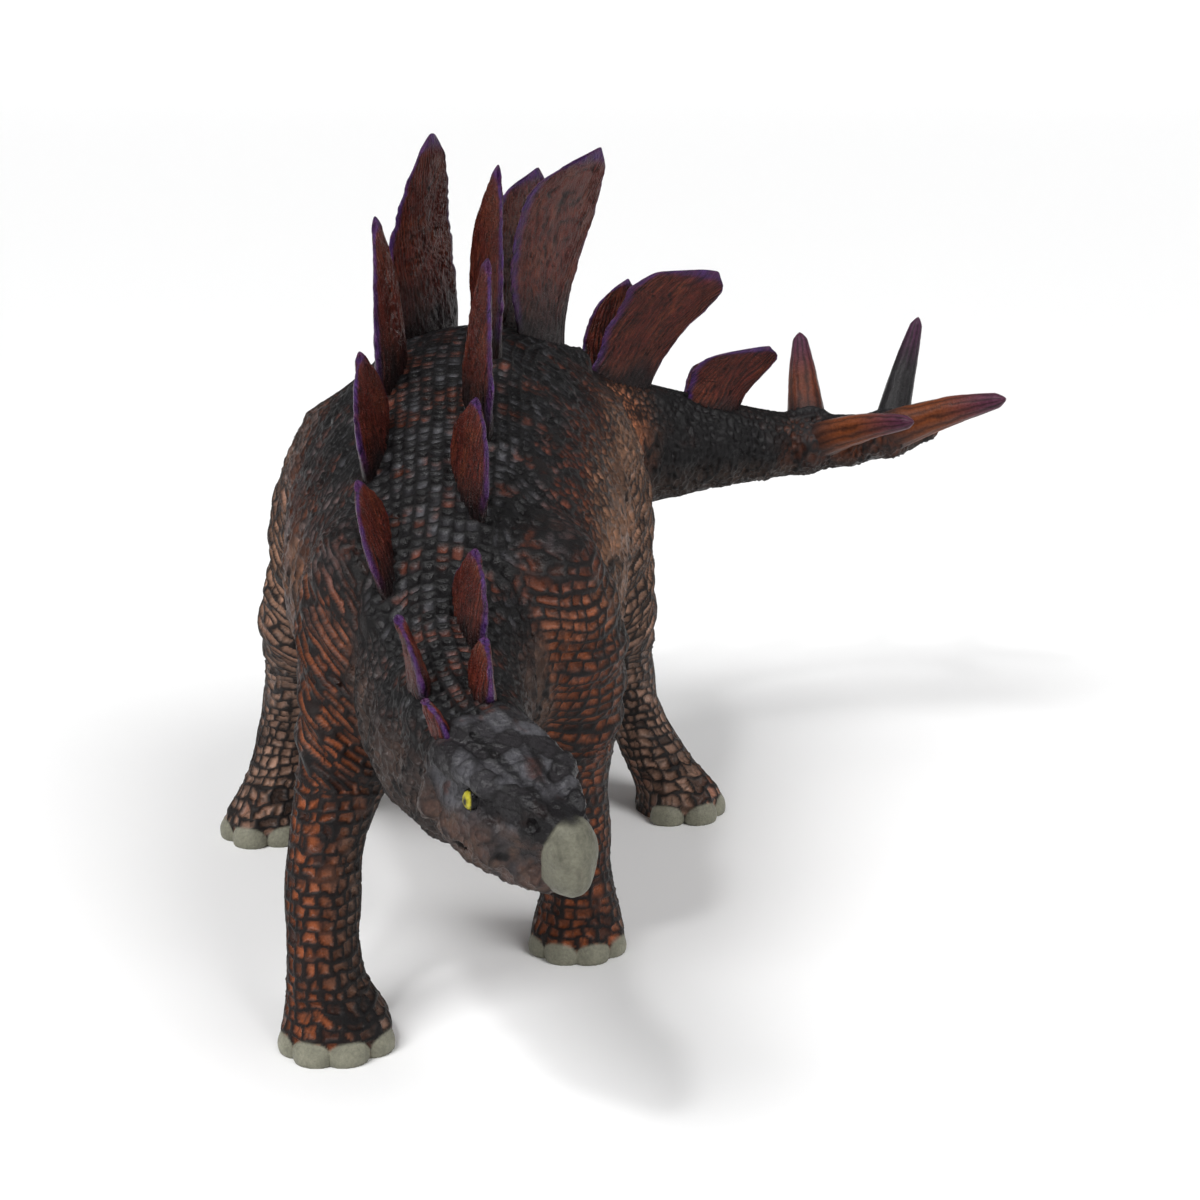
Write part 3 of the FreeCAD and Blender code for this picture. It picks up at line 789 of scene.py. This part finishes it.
def head_skin(p, warp, warp2):
    """Smoother, plated skin: charcoal crown, pinkish cheeks, horn-coloured bill, ringed eyes."""
    h = (p - SKULL) @ HEAD
    round_head = np.arctan2(h[:, 1], h[:, 2]) * 9
    f1, f2, tag = cells((h[:, 0] + 1.2 * warp) / 4.4, (round_head + 1.2 * warp2) / 3.4, 0.9, 95)
    plated = fade(0.05, 0.26, (f2 - f1)) * np.clip(0.65 + 0.9 * fractal(p, 4, 96), 0.1, 1)
    plated = np.maximum(plated, crinkle(p, 2.2, 1.0, 98) * 0.55)
    g1, g2, _tag = cells((h[:, 0] + 0.5 * warp) / 1.35, round_head / 1.25, 0.9, 97)
    fine = fade(0.0, 0.4, g2 - g1)
    rise = 0.52 * (1 - plated) + 0.16 * (1 - fine) + 0.32 * fractal(p, 3.2, 94)
    crown = smooth(-2.5, 2.5, h[:, 2] + 2.2 * fractal(p, 5, 93))
    crest = coats(BACK * 1.6, (SLATE * 1.75, smooth(0.25, 0.9, tag) * 0.85),
                  (RED * 0.6, smooth(0.25, 0.7, fractal(p, 4, 92)) * 0.6))
    colour = coats(PINK * 0.52, (TAUPE * 0.62, smooth(-0.3, 0.6, fractal(p, 4, 99))),
                   (SLATE * 0.8, smooth(-0.1, 0.5, fractal(p, 3.2, 100)) * 0.8), (crest, crown),
                   (BLACK, np.clip(0.85 * plated + 0.3 * fine, 0, 1) * 0.85))
    # a black band round the nostrils sets off the bill
    horn = beak(p) - 0.25 * fractal(p, 2.5, 101)
    rim = smooth(11.5, 14.5, h[:, 0] + 0.5 * warp) * smooth(-2.0, 2.0, h[:, 2])
    bill = fade(0.0, 0.45, horn) * smooth(16.6, 17.6, h[:, 0] + 0.3 * warp)
    bill *= fade(4.2, 5.2, h[:, 2] + 0.4 * warp)
    streak = fractal(h * f32([0.5, 1.8, 0.5]), 1.6, 103)
    colour = coats(colour, (BLACK * 1.5, rim * 0.85), (BONE * (0.78 + 0.3 * streak)[:, None], bill))
    rise = blend(rise, 0.14 * streak, bill)
    gap = np.clip(0.85 * plated, 0, 1) * (1 - bill)
    gloss = 0.31 + 0.2 * bill
    for side in (-1, 1):
        q = h - f32(on_side(side, EYE))
        ball = fade(1.92, 2.15, np.linalg.norm(q, axis=1)) * smooth(8.5, 9.0, h[:, 1] * side)
        out = np.hypot(q[:, 0] * 1.2, q[:, 2] * 0.92)
        ring = fade(1.22, 1.4, out) * smooth(0.5, 0.66, out)
        colour = mix(colour, mix(BLACK, YELLOW, ring), ball)
        rise, gap = rise * (1 - ball), gap * (1 - ball)
        gloss = blend(gloss, 0.12, ball)
        line = head_strut(p, (1.0, side * 10.4, -5.2), (17.0, side * 5.7, -3.8), 0.2, 0.2)
        crease = head_strut(p, (-6.5, side * 3.6, 10.6), (13.5, side * 2.5, 7.4), 0.3, 0.3)
        colour = coats(colour, (BLACK, fade(0.2, 0.9, crease) * 0.8), (BLACK, fade(0.3, 0.9, line) * 0.9))
    return rise, gap, colour, gloss


def relief(p, parts):
    """Height of the sculpted skin over the smooth form, with its paint and its gloss."""
    _d, body, limbs, nails = parts
    warp, warp2 = fractal(p, 9.0, 3), fractal(p, 9.0, 8)
    rise, gap, tag, colour, s, lap = trunk_skin(p, warp, warp2)
    colour = tail_paint(p, s, lap, colour)
    for name, value in limbs.items():
        w = fade(-1.5, 4.0, value - body + 1.5 * warp)
        w *= 1 - smooth(88, 104, p[:, 2] + 5 * warp) * 0.6
        rise_l, gap_l, tag_l, colour_l = limb_skin(p, name, warp, warp2)
        rise, gap = blend(rise, rise_l, w), blend(gap, gap_l, w)
        tag = np.where(w > 0.5, tag_l, tag)
        high = smooth(76, 98, p[:, 2]) * (0.85 if name.startswith("fore") else 0.5)
        colour = blend(colour, mix(colour_l, colour, high), w[:, None])
    colour = hip_patch_with_painted_light(p, colour)
    gloss = 0.29 + 0.1 * fractal(p, 5, 90)
    # scales differ from one another; their crowns are brushed lighter and the cracks hold a black wash
    colour = colour * (0.72 + 0.56 * tag)[:, None]
    crown = fade(0.0, 0.25, gap)
    colour = coats(colour, (colour * 1.3 + 0.006, crown * smooth(0.4, 1.0, tag) * 0.8),
                   (BLACK, np.clip(gap * 1.15, 0, 0.97)))
    h = (p - SKULL) @ HEAD
    on_head = smooth(-12.0, -8.0, h[:, 0]) * fade(15, 22, np.linalg.norm(h[:, 1:], axis=1))
    if on_head.max() > 0:
        rise_h, gap_h, colour_h, gloss_h = head_skin(p, warp, warp2)
        rise = blend(rise, rise_h, on_head)
        gap = blend(gap, gap_h, on_head)
        colour = mix(colour, colour_h, on_head)
        gloss = blend(gloss, gloss_h, on_head)
    if nails is not None:
        nail = fade(0.1, 0.5, nails)
        colour = mix(colour, BONE * (1.25 + 0.34 * fractal(p, 2.0, 107))[:, None], nail)
        rise = blend(rise, 0.08 * fractal(p, 1.6, 109), nail)
        gap = gap * (1 - nail)
        gloss = blend(gloss, 0.45, nail)
    for root, _tip, r in SPIKES.values():
        socket = fade(r * 0.9, r * 2.0, np.linalg.norm(p - f32(root), axis=1))
        colour = mix(colour, BACK, socket * 0.7)
    return rise * smooth(0.0, 0.9, p[:, 2]), colour, gloss + 0.25 * gap


# --- meshes and materials
def outward(v, f):
    """The faces of a mesh of four-sided faces, turned over if they point inwards."""
    a, b, c, d = (v[f[:, i]].astype(np.float64) for i in range(4))
    volume = (np.cross(a, b) * c).sum() + (np.cross(a, c) * d).sum()
    return f[:, ::-1] if volume < 0 else f


def placed(name, data):
    """A new object in the scene."""
    obj = bpy.data.objects.new(name, data)
    bpy.context.scene.collection.objects.link(obj)
    return obj


def stand_in(obj, node):
    """Let an object ride on the one body, in the place of its CAD node."""
    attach(obj, "root")
    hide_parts(node)


def new_material(name):
    """A material with its shader, and short ways to add a node and to join two."""
    mat = bpy.data.materials.new(name)
    mat.use_nodes = True
    tree = mat.node_tree

    def add(kind, values=None, **settings):
        node = tree.nodes.new("ShaderNode" + kind)
        for key, value in settings.items():
            setattr(node, key, value)
        for key, value in (values or {}).items():
            node.inputs[key].default_value = value
        return node

    def join(source, output, target, socket):
        tree.links.new(source.outputs[output], target.inputs[socket])

    return mat, tree.nodes["Principled BSDF"], add, join


def make_object(name, verts, faces, colour, gloss, material):
    mesh = bpy.data.meshes.new(name)
    place = (verts + SHIFT) * MM
    mesh.vertices.add(len(place))
    mesh.vertices.foreach_set("co", f32(place).ravel())
    mesh.loops.add(faces.size)
    mesh.loops.foreach_set("vertex_index", faces.astype(np.int32).ravel())
    mesh.polygons.add(len(faces))
    mesh.polygons.foreach_set("loop_start", np.arange(0, faces.size, faces.shape[1], dtype=np.int32))
    mesh.polygons.foreach_set("loop_total", np.full(len(faces), faces.shape[1], np.int32))
    mesh.update(calc_edges=True)
    mesh.validate()
    mesh.polygons.foreach_set("use_smooth", np.full(len(mesh.polygons), True))
    paint = mesh.color_attributes.new("paint", "FLOAT_COLOR", "POINT")
    rgba = np.concatenate([np.clip(colour * PAINT_DEPTH, 0, 1), np.ones((len(colour), 1))], 1)
    paint.data.foreach_set("color", f32(rgba).ravel())
    rough = mesh.attributes.new("gloss", "FLOAT", "POINT")
    rough.data.foreach_set("value", f32(np.clip(gloss, 0.08, 0.9)))
    mesh.materials.append(material)
    return placed(name, mesh)


def paint_material(name, grain, bump, speckle, streaked=False):
    """Paint over moulded vinyl: the painted colour, broken up by fine grain, on a finely pitted surface."""
    mat, shader, add, join = new_material(name)
    shader.inputs["Specular IOR Level"].default_value = 0.2
    coords = add("TexCoord")
    paint, gloss = (add("Attribute", attribute_name=layer) for layer in ("paint", "gloss"))
    fine = add("TexNoise", {"Scale": grain, "Detail": 6.0, "Roughness": 0.65})
    if streaked:
        join(add("Attribute", attribute_name="grain"), "Vector", fine, "Vector")
    else:
        join(coords, "Object", fine, "Vector")
    tone = add("MapRange", {"From Min": 0.3, "From Max": 0.7, "To Min": 1 - speckle, "To Max": 1 + speckle})
    join(fine, "Fac", tone, "Value")
    scale = add("VectorMath", operation="SCALE")
    join(paint, "Color", scale, 0)
    join(tone, "Result", scale, "Scale")
    join(scale, "Vector", shader, "Base Color")
    pits = add("TexVoronoi", {"Scale": 2400.0})
    join(coords, "Object", pits, "Vector")
    both = add("Math", {1: 0.6}, operation="MULTIPLY_ADD")
    join(pits, "Distance", both, 0)
    join(fine, "Fac", both, 2)
    lift = add("Bump", {"Strength": bump, "Distance": 0.00025})
    join(both, "Value", lift, "Height")
    join(lift, "Normal", shader, "Normal")
    uneven = add("Math", {1: 0.22}, operation="MULTIPLY_ADD")
    join(fine, "Fac", uneven, 0)
    join(gloss, "Fac", uneven, 2)
    shift = add("Math", {1: 0.11}, operation="SUBTRACT")
    join(uneven, "Value", shift, 0)
    join(shift, "Value", shader, "Roughness")
    return mat


HIDE = paint_material("painted_hide", 1500.0, 0.5, 0.22)
PLATE = paint_material("painted_plate", 1.6, 1.0, 0.95, streaked=True)
SPIKE = paint_material("painted_spike", 1300.0, 0.5, 0.35)
# how far the bottoms of the cracks lie under the smooth form
RELIEF = 0.45


def skin(name):
    verts, quads = skin_mesh(name)
    normal = normals_of(verts, quads)
    parts = figure(verts, parts=True)
    height, colour, gloss = relief(verts, parts)
    height = np.where(parts[0] < -0.5, 0.0, height)
    verts = verts + normal * (height - RELIEF)[:, None]
    verts[:, 2] = np.maximum(verts[:, 2], 0.0)
    obj = make_object(name + "_hide", verts, quads, colour, gloss, HIDE)
    stand_in(obj, name + "_skin")


# half widths of a plate in front of and behind its middle line, at shares of its height
KNOTS = np.array([-0.12, 0.0, 0.12, 0.3, 0.48, 0.66, 0.8, 0.9, 0.96, 1.0])
OUTLINES = {
    "leaf": ([0.72, 0.7, 0.8, 1.0, 1.0, 0.84, 0.6, 0.38, 0.22, 0.06],
             [0.72, 0.68, 0.72, 0.86, 0.92, 0.8, 0.52, 0.3, 0.18, 0.05]),
    "fin": ([0.66, 0.62, 0.7, 1.0, 1.22, 1.32, 1.3, 1.16, 0.95, 0.3],
            [0.62, 0.52, 0.44, 0.46, 0.54, 0.56, 0.46, 0.34, 0.24, 0.06]),
    "thumb": ([0.78, 0.8, 0.88, 1.02, 1.24, 1.44, 1.52, 1.5, 1.36, 0.8],
              [0.74, 0.7, 0.66, 0.62, 0.64, 0.7, 0.62, 0.46, 0.3, 0.1]),
    "small": ([0.6, 0.58, 0.6, 0.64, 0.68, 0.72, 0.7, 0.6, 0.46, 0.16],
              [0.72, 0.68, 0.72, 0.8, 0.82, 0.72, 0.56, 0.4, 0.28, 0.08]),
    "blade": ([0.72, 0.72, 0.8, 0.9, 0.82, 0.62, 0.46, 0.36, 0.3, 0.2],
              [0.95, 1.0, 1.08, 1.06, 0.96, 0.8, 0.64, 0.5, 0.38, 0.22]),
    "knife": ([0.8, 0.8, 0.92, 1.02, 0.92, 0.7, 0.5, 0.34, 0.24, 0.1],
              [0.8, 0.76, 0.72, 0.64, 0.52, 0.4, 0.3, 0.22, 0.17, 0.08]),
}
OUTLINE_OF = {"plate_left_6": "fin", "plate_right_7": "fin", "tail_plate_left_1": "thumb",
              "tail_plate_right_1": "small", "tail_plate_left_2": "thumb", "tail_plate_right_2": "small",
              "plate_right_6": "blade", "plate_right_5": "knife", "plate_left_4": "knife"}


def leaf(name, row):
    """A back plate: two ribbed faces over one outline, bowed and leaning, its foot on the slope of the back."""
    x, y, z, chord, height, sweep, heading, lean = row
    seed = sum(map(ord, name))
    across, up = ((73, 118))
    t = np.linspace(-0.12, 1.0, up)
    q = np.sin(np.linspace(-1, 1, across) * math.pi / 2)
    T, Q = (f32(m) for m in np.meshgrid(t, q, indexing="ij"))
    fine = np.linspace(-0.12, 1, 240)

    def soft(values):
        s = np.interp(fine, KNOTS, values)
        for _ in range(10):
            s[1:-1] = (s[:-2] + 2 * s[1:-1] + s[2:]) / 4
        return np.interp(t, fine, s)

    def ragged(k):
        at = f32(np.stack([t * height, 0 * t + k * 9, 0 * t + seed], 1))
        return 1 + (0.05 * noise3(at, 2.6, seed) + 0.03 * noise3(at, 1.1, seed + 1)) * smooth(0.1, 0.3, t)

    wf, wr = (soft(v) * ragged(k) for k, v in enumerate(OUTLINES[OUTLINE_OF.get(name, "leaf")]))
    Y = np.where(Q < 0, Q * wf[:, None], Q * wr[:, None]) * (chord / 2)
    back = sweep * np.clip(T, 0, 1) ** 1.25
    # the tip and the foot are rounded: the rows bow up in the middle
    Z = T * height - 0.06 * height * smooth(0.75, 1.0, T) * Q ** 2
    if name == "tail_plate_left_1":
        Z = Z - 0.24 * (Y + 2.0) * smooth(0.45, 1.0, T)
    flatp = f32(np.stack([Y.ravel(), Z.ravel(), np.full(Y.size, seed * 1.7)], 1))
    wob, wob2 = (fractal(flatp, k, seed + i).reshape(Y.shape) for i, k in ((0, 6.0), (4, 1.8)))
    thick = np.interp(T, [-0.12, 0.1, 0.5, 1.0], [2.9, 2.2, 1.35, 0.95])
    thick = thick * np.sqrt(np.clip((1 - T) / 0.05, 0.03, 1))
    profile = np.clip(1 - np.abs(Q) ** 2.2, 0, 1) ** 0.55
    # feathered ribs: they rise from the middle line and slant up to both edges
    fan = np.abs(Y + 1.6 * wob) / (0.5 + 0.5 * np.clip(1.1 - T, 0.1, 1)) * 0.4
    phase = fan - (Z - 0.2 * height) * 0.13 * smooth(0.1, 0.4, T) + 0.42 * wob + 0.2 * wob2
    rib = np.abs(np.mod(phase * 1.55, 1.0) - 0.5) * 2
    rib2 = np.abs(np.mod(phase * 3.4 + 0.6 * wob, 1.0) - 0.5) * 2
    groove = fade(0.0, 0.55, rib) * np.clip(0.55 + 0.9 * wob2, 0, 1)
    groove = np.maximum(groove, fade(0.0, 0.5, rib2) * 0.55 * np.clip(0.4 + wob, 0, 1))
    edge_room = np.minimum(1 - np.abs(Q), (1 - T) * 1.8)
    lift = (-0.48 * groove + 0.22 * wob2 + 0.3 * wob) * smooth(0.0, 0.16, edge_room)
    X = profile * thick + np.maximum(lift, -0.6 * profile * thick)
    bow = 0.1 * height * np.sin(np.clip(T, 0, 1) * math.pi * 0.9) * math.copysign(0.5, lean or 1)
    rim = fade(0.04, 0.15, edge_room + 0.03 * wob)
    # the foot follows the slope of the back
    R = f32(Matrix.Rotation(math.radians(heading), 3, "Z") @ Matrix.Rotation(math.radians(lean), 3, "Y"))
    foot_line = f32(np.stack([0 * q, Y[np.abs(t).argmin()], 0 * q], 1)) @ R.T + f32([x, y, z])
    sunk = np.zeros(across, np.float32)
    for _ in range(8):
        spot = foot_line - sunk[:, None] * R[:, 2]
        sunk += np.maximum(smin(trunk(spot), tail(spot), 2.5), 0)
    Z = Z - sunk[None] * fade(0.0, 0.55, T)
    sides, colours = [], []
    grain = np.stack([phase * 2.2, T * height * 0.16 + 0.5 * wob, 0 * T + seed * 0.37], -1).reshape(-1, 3)
    for sign in (-1, 1):
        sides.append(np.stack([sign * X - bow, Y + back, Z], -1).reshape(-1, 3))
        w = fractal(flatp + 31 * sign, 4.0, seed + 9)
        foot = fade(0.06, 0.42, T + 0.16 * wob)
        tip = smooth(0.86, 1.0, T + 0.05 * wob)
        violet = np.clip(rim * 0.95 + tip * 0.3, 0, 0.95) * smooth(0.08, 0.3, T)
        violet = violet * np.clip(0.8 + 0.5 * wob2, 0.3, 1)
        rust = smooth(0.75, 1.0, rib).ravel() * np.clip(0.3 + 0.7 * w, 0, 1)
        colours.append(coats(MAROON, (RED, smooth(-0.2, 0.8, w) * 0.75), (ORANGE * 0.8, rust * 0.4),
                             (BLACK, np.clip(groove * 1.25, 0, 1).ravel() * 0.95),
                             (BLACK * 1.6, foot.ravel() * 0.92), (VIOLET, violet.ravel())))
    verts = f32(np.concatenate(sides)) @ R.T + f32([x, y, z])
    count = up * across
    i, j = np.meshgrid(np.arange(up - 1), np.arange(across - 1), indexing="ij")
    k = (i * across + j).ravel()
    one = np.stack([k, k + across, k + across + 1, k + 1], 1)
    two = one[:, ::-1] + count
    # the two faces are closed along the four edges
    rims = []
    rows, columns = np.arange(up - 1) * across, np.arange(across - 1)
    for r, step, flip in ((rows, across, False), (rows + across - 1, across, True),
                          (columns, 1, True), (columns + (up - 1) * across, 1, False)):
        strip = np.stack([r, r + count, r + step + count, r + step], 1)
        rims.append(strip[:, ::-1] if flip else strip)
    faces = outward(verts, np.concatenate([one, two] + rims))
    gloss = np.full(len(verts), 0.34) + 0.06 * np.tile(wob2.ravel(), 2)
    obj = make_object(name + "_leaf", verts, faces, np.concatenate(colours), gloss, PLATE)
    streak = obj.data.attributes.new("grain", "FLOAT_VECTOR", "POINT")
    streak.data.foreach_set("vector", f32(np.concatenate([grain, grain + 7.3])).ravel())
    stand_in(obj, name)


def horn(name, root, tip, radius):
    """A tail spike: a ribbed, slightly bowed cone with a blunt point."""
    seed = sum(map(ord, name))
    around, up = ((56, 90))
    root, tip = f32(root), f32(tip)
    way = tip - root
    length = float(np.linalg.norm(way))
    turn_to = Vector((0, 0, 1)).rotation_difference(Vector(way)).to_matrix()
    t = np.linspace(-0.12, 1.0, up)
    a = np.linspace(0, 2 * math.pi, around, endpoint=False)
    T, A = (f32(m) for m in np.meshgrid(t, a, indexing="ij"))
    body_r = radius * (1 - np.clip(T, 0, 1)) ** 0.7 * 0.86 + radius * 0.26
    body_r *= np.sqrt(np.clip((1.0 - T) / 0.07, 0.004, 1))
    flatp = np.stack([(np.cos(A) * 3).ravel(), (np.sin(A) * 3).ravel(), (T * length * 0.35).ravel()], 1)
    wob = fractal(flatp + seed, 1.6, seed).reshape(T.shape)
    rib = np.abs(np.mod(A / (2 * math.pi) * 11 + 0.5 * wob, 1) - 0.5) * 2
    R = body_r + (0.22 * (rib - 0.5) + 0.14 * wob) * smooth(1.0, 0.6, T)
    bow = 0.05 * length * np.sin(np.clip(T, 0, 1) * math.pi)
    local = np.stack([R * np.cos(A), R * 0.94 * np.sin(A) + bow, T * length], -1).reshape(-1, 3)
    verts = local @ f32(turn_to).T + root
    i, j = np.meshgrid(np.arange(up - 1), np.arange(around), indexing="ij")
    k, k2 = (i * around + j).ravel(), (i * around + (j + 1) % around).ravel()
    faces = np.stack([k, k2, k2 + around, k + around], 1)
    caps = []
    for ring, flip in ((0, True), (up - 1, False)):
        centre = len(verts)
        verts = np.concatenate([verts, verts[ring * around:(ring + 1) * around].mean(0, keepdims=True)])
        evens = np.arange(0, around, 2)
        r = [ring * around + (evens + step) % around for step in (0, 1, 2)]
        strip = np.stack(r + [np.full(len(evens), centre)], 1)
        caps.append(strip[:, ::-1] if flip else strip)
    faces = outward(verts, np.concatenate([faces] + caps))
    flat_t = np.concatenate([T.ravel(), [-0.12, 1.0]])
    flat_rib = np.concatenate([(rib * (1 + 0.5 * wob)).ravel(), [0.5, 0.5]])
    tone = {"tail_spike_right_2": BACK * 1.4, "tail_spike_right_1": RED}.get(name, ORANGE * 0.8)
    colour = coats(tone, (BACK * 1.1, fade(0.02, 0.4, flat_t)),
                   (VIOLET * 0.6 + RED * 0.4, smooth(0.45, 0.95, flat_t) * 0.85),
                   (BLACK, fade(0.0, 0.6, flat_rib) * 0.7))
    obj = make_object(name + "_horn", f32(verts), faces, colour, np.full(len(verts), 0.42), SPIKE)
    stand_in(obj, name)


def stuffing(name):
    """The fibre inside a skin: the filling's own form, with a tufted surface."""
    node = frame["nodes"][name + "_filling"]
    mesh = node.data.copy()
    place = np.empty(len(mesh.vertices) * 3, np.float32)
    normal = place.copy()
    mesh.vertices.foreach_get("co", place)
    mesh.vertices.foreach_get("normal", normal)
    place, normal = place.reshape(-1, 3), normal.reshape(-1, 3)
    turned = f32(node.matrix_world)
    p = (place @ turned[:3, :3].T + turned[:3, 3]) / MM - SHIFT
    normal = normal @ turned[:3, :3].T
    inside = 2.8 if name == "head_neck" else 2.0  # the fibre stays this far under the skin
    for _ in range(5):
        p -= normal * np.maximum(figure(f32(p)) + inside, 0)[:, None] * 0.8
    mesh.vertices.foreach_set("co", f32(((p + SHIFT) * MM - turned[:3, 3]) @ turned[:3, :3]).ravel())
    mesh.update()
    mesh.materials.clear()
    mesh.materials.append(FIBRE)
    obj = placed(name + "_fibre", mesh)
    obj.matrix_world = node.matrix_world.copy()
    stand_in(obj, name + "_filling")


def fibre_material():
    mat, shader, add, join = new_material("polyester_fibre")
    shader.inputs["Roughness"].default_value = 0.9
    tufts = add("TexNoise", {"Scale": 300.0, "Detail": 8.0})
    join(add("TexCoord"), "Object", tufts, "Vector")
    ramp = add("ValToRGB")
    ramp.color_ramp.elements[0].color = (0.62, 0.61, 0.57, 1)
    ramp.color_ramp.elements[1].color = (0.88, 0.87, 0.84, 1)
    join(tufts, "Fac", ramp, "Fac")
    join(ramp, "Color", shader, "Base Color")
    lift = add("Bump", {"Distance": 0.0008})
    join(tufts, "Fac", lift, "Height")
    join(lift, "Normal", shader, "Normal")
    return mat


FIBRE = fibre_material()
for piece in EXTENT:
    skin(piece)
    stuffing(piece)
for piece, row in PLATES.items():
    leaf(piece, row)
for piece, row in SPIKES.items():
    horn(piece, *row)


# --- floor, light, camera
def floor():
    """A wide round sheet of paper on the floor, swept up far away from the figure."""
    mesh = bpy.data.meshes.new("floor")
    bend = [(8 + 2.4 * math.sin(a), 2.4 - 2.4 * math.cos(a)) for a in np.linspace(0.08, 1.2, 14)]
    profile = [(4.0, 0.0), (8.0, 0.0)] + bend
    around = 96
    bearings = np.linspace(0, 2 * math.pi, around, endpoint=False)
    verts = [(r * math.cos(b), r * math.sin(b), z) for r, z in profile for b in bearings]
    faces = [tuple(range(around))]
    for i in range(len(profile) - 1):
        for j in range(around):
            k = (j + 1) % around
            faces.append((i * around + j, (i + 1) * around + j, (i + 1) * around + k, i * around + k))
    mesh.from_pydata(verts, [], faces)
    mesh.polygons.foreach_set("use_smooth", [True] * len(faces))
    mat, shader, _add, _join = new_material("floor_paper")
    shader.inputs["Base Color"].default_value = (0.94, 0.94, 0.94, 1)
    shader.inputs["Roughness"].default_value = 0.9
    mesh.materials.append(mat)
    placed("floor", mesh)


def lamp(name, kind, place, aim, size, power):
    data = bpy.data.lights.new(name, kind)
    if kind == "SUN":
        data.angle = math.radians(size)
    else:
        data.shape = "DISK"
        data.size = size
    data.energy = power
    obj = placed(name, data)
    obj.location = place
    obj.rotation_euler = (Vector(aim) - Vector(place)).to_track_quat("-Z", "Y").to_euler()


floor()
lamp("softbox_left", "SUN", (-0.6, -0.55, 1.1), (0, 0, 0), 28, 1.8)
lamp("softbox_right", "SUN", (0.7, -0.6, 1.1), (0, 0, 0), 28, 1.38)
lamp("glint", "AREA", (-0.25, -0.6, 0.9), (0, -0.02, 0.08), 0.1, 2.2)
world = bpy.data.worlds.new("studio")
bpy.context.scene.world = world
world.use_nodes = True
backdrop = world.node_tree.nodes["Background"].inputs
backdrop["Color"].default_value = (1, 1, 1, 1)
backdrop["Strength"].default_value = 0.26

camera_data = bpy.data.cameras.new("camera")
camera_data.sensor_width = 36.0
camera_data.lens = 65.5
camera = placed("camera", camera_data)
camera.location = (np.array([31.0, -538.0, 201.0]) + SHIFT) * MM
camera.rotation_euler = (math.radians(90 - 14.7), 0, 0)
bpy.context.scene.camera = camera
bpy.context.scene.view_settings.view_transform = "Standard"
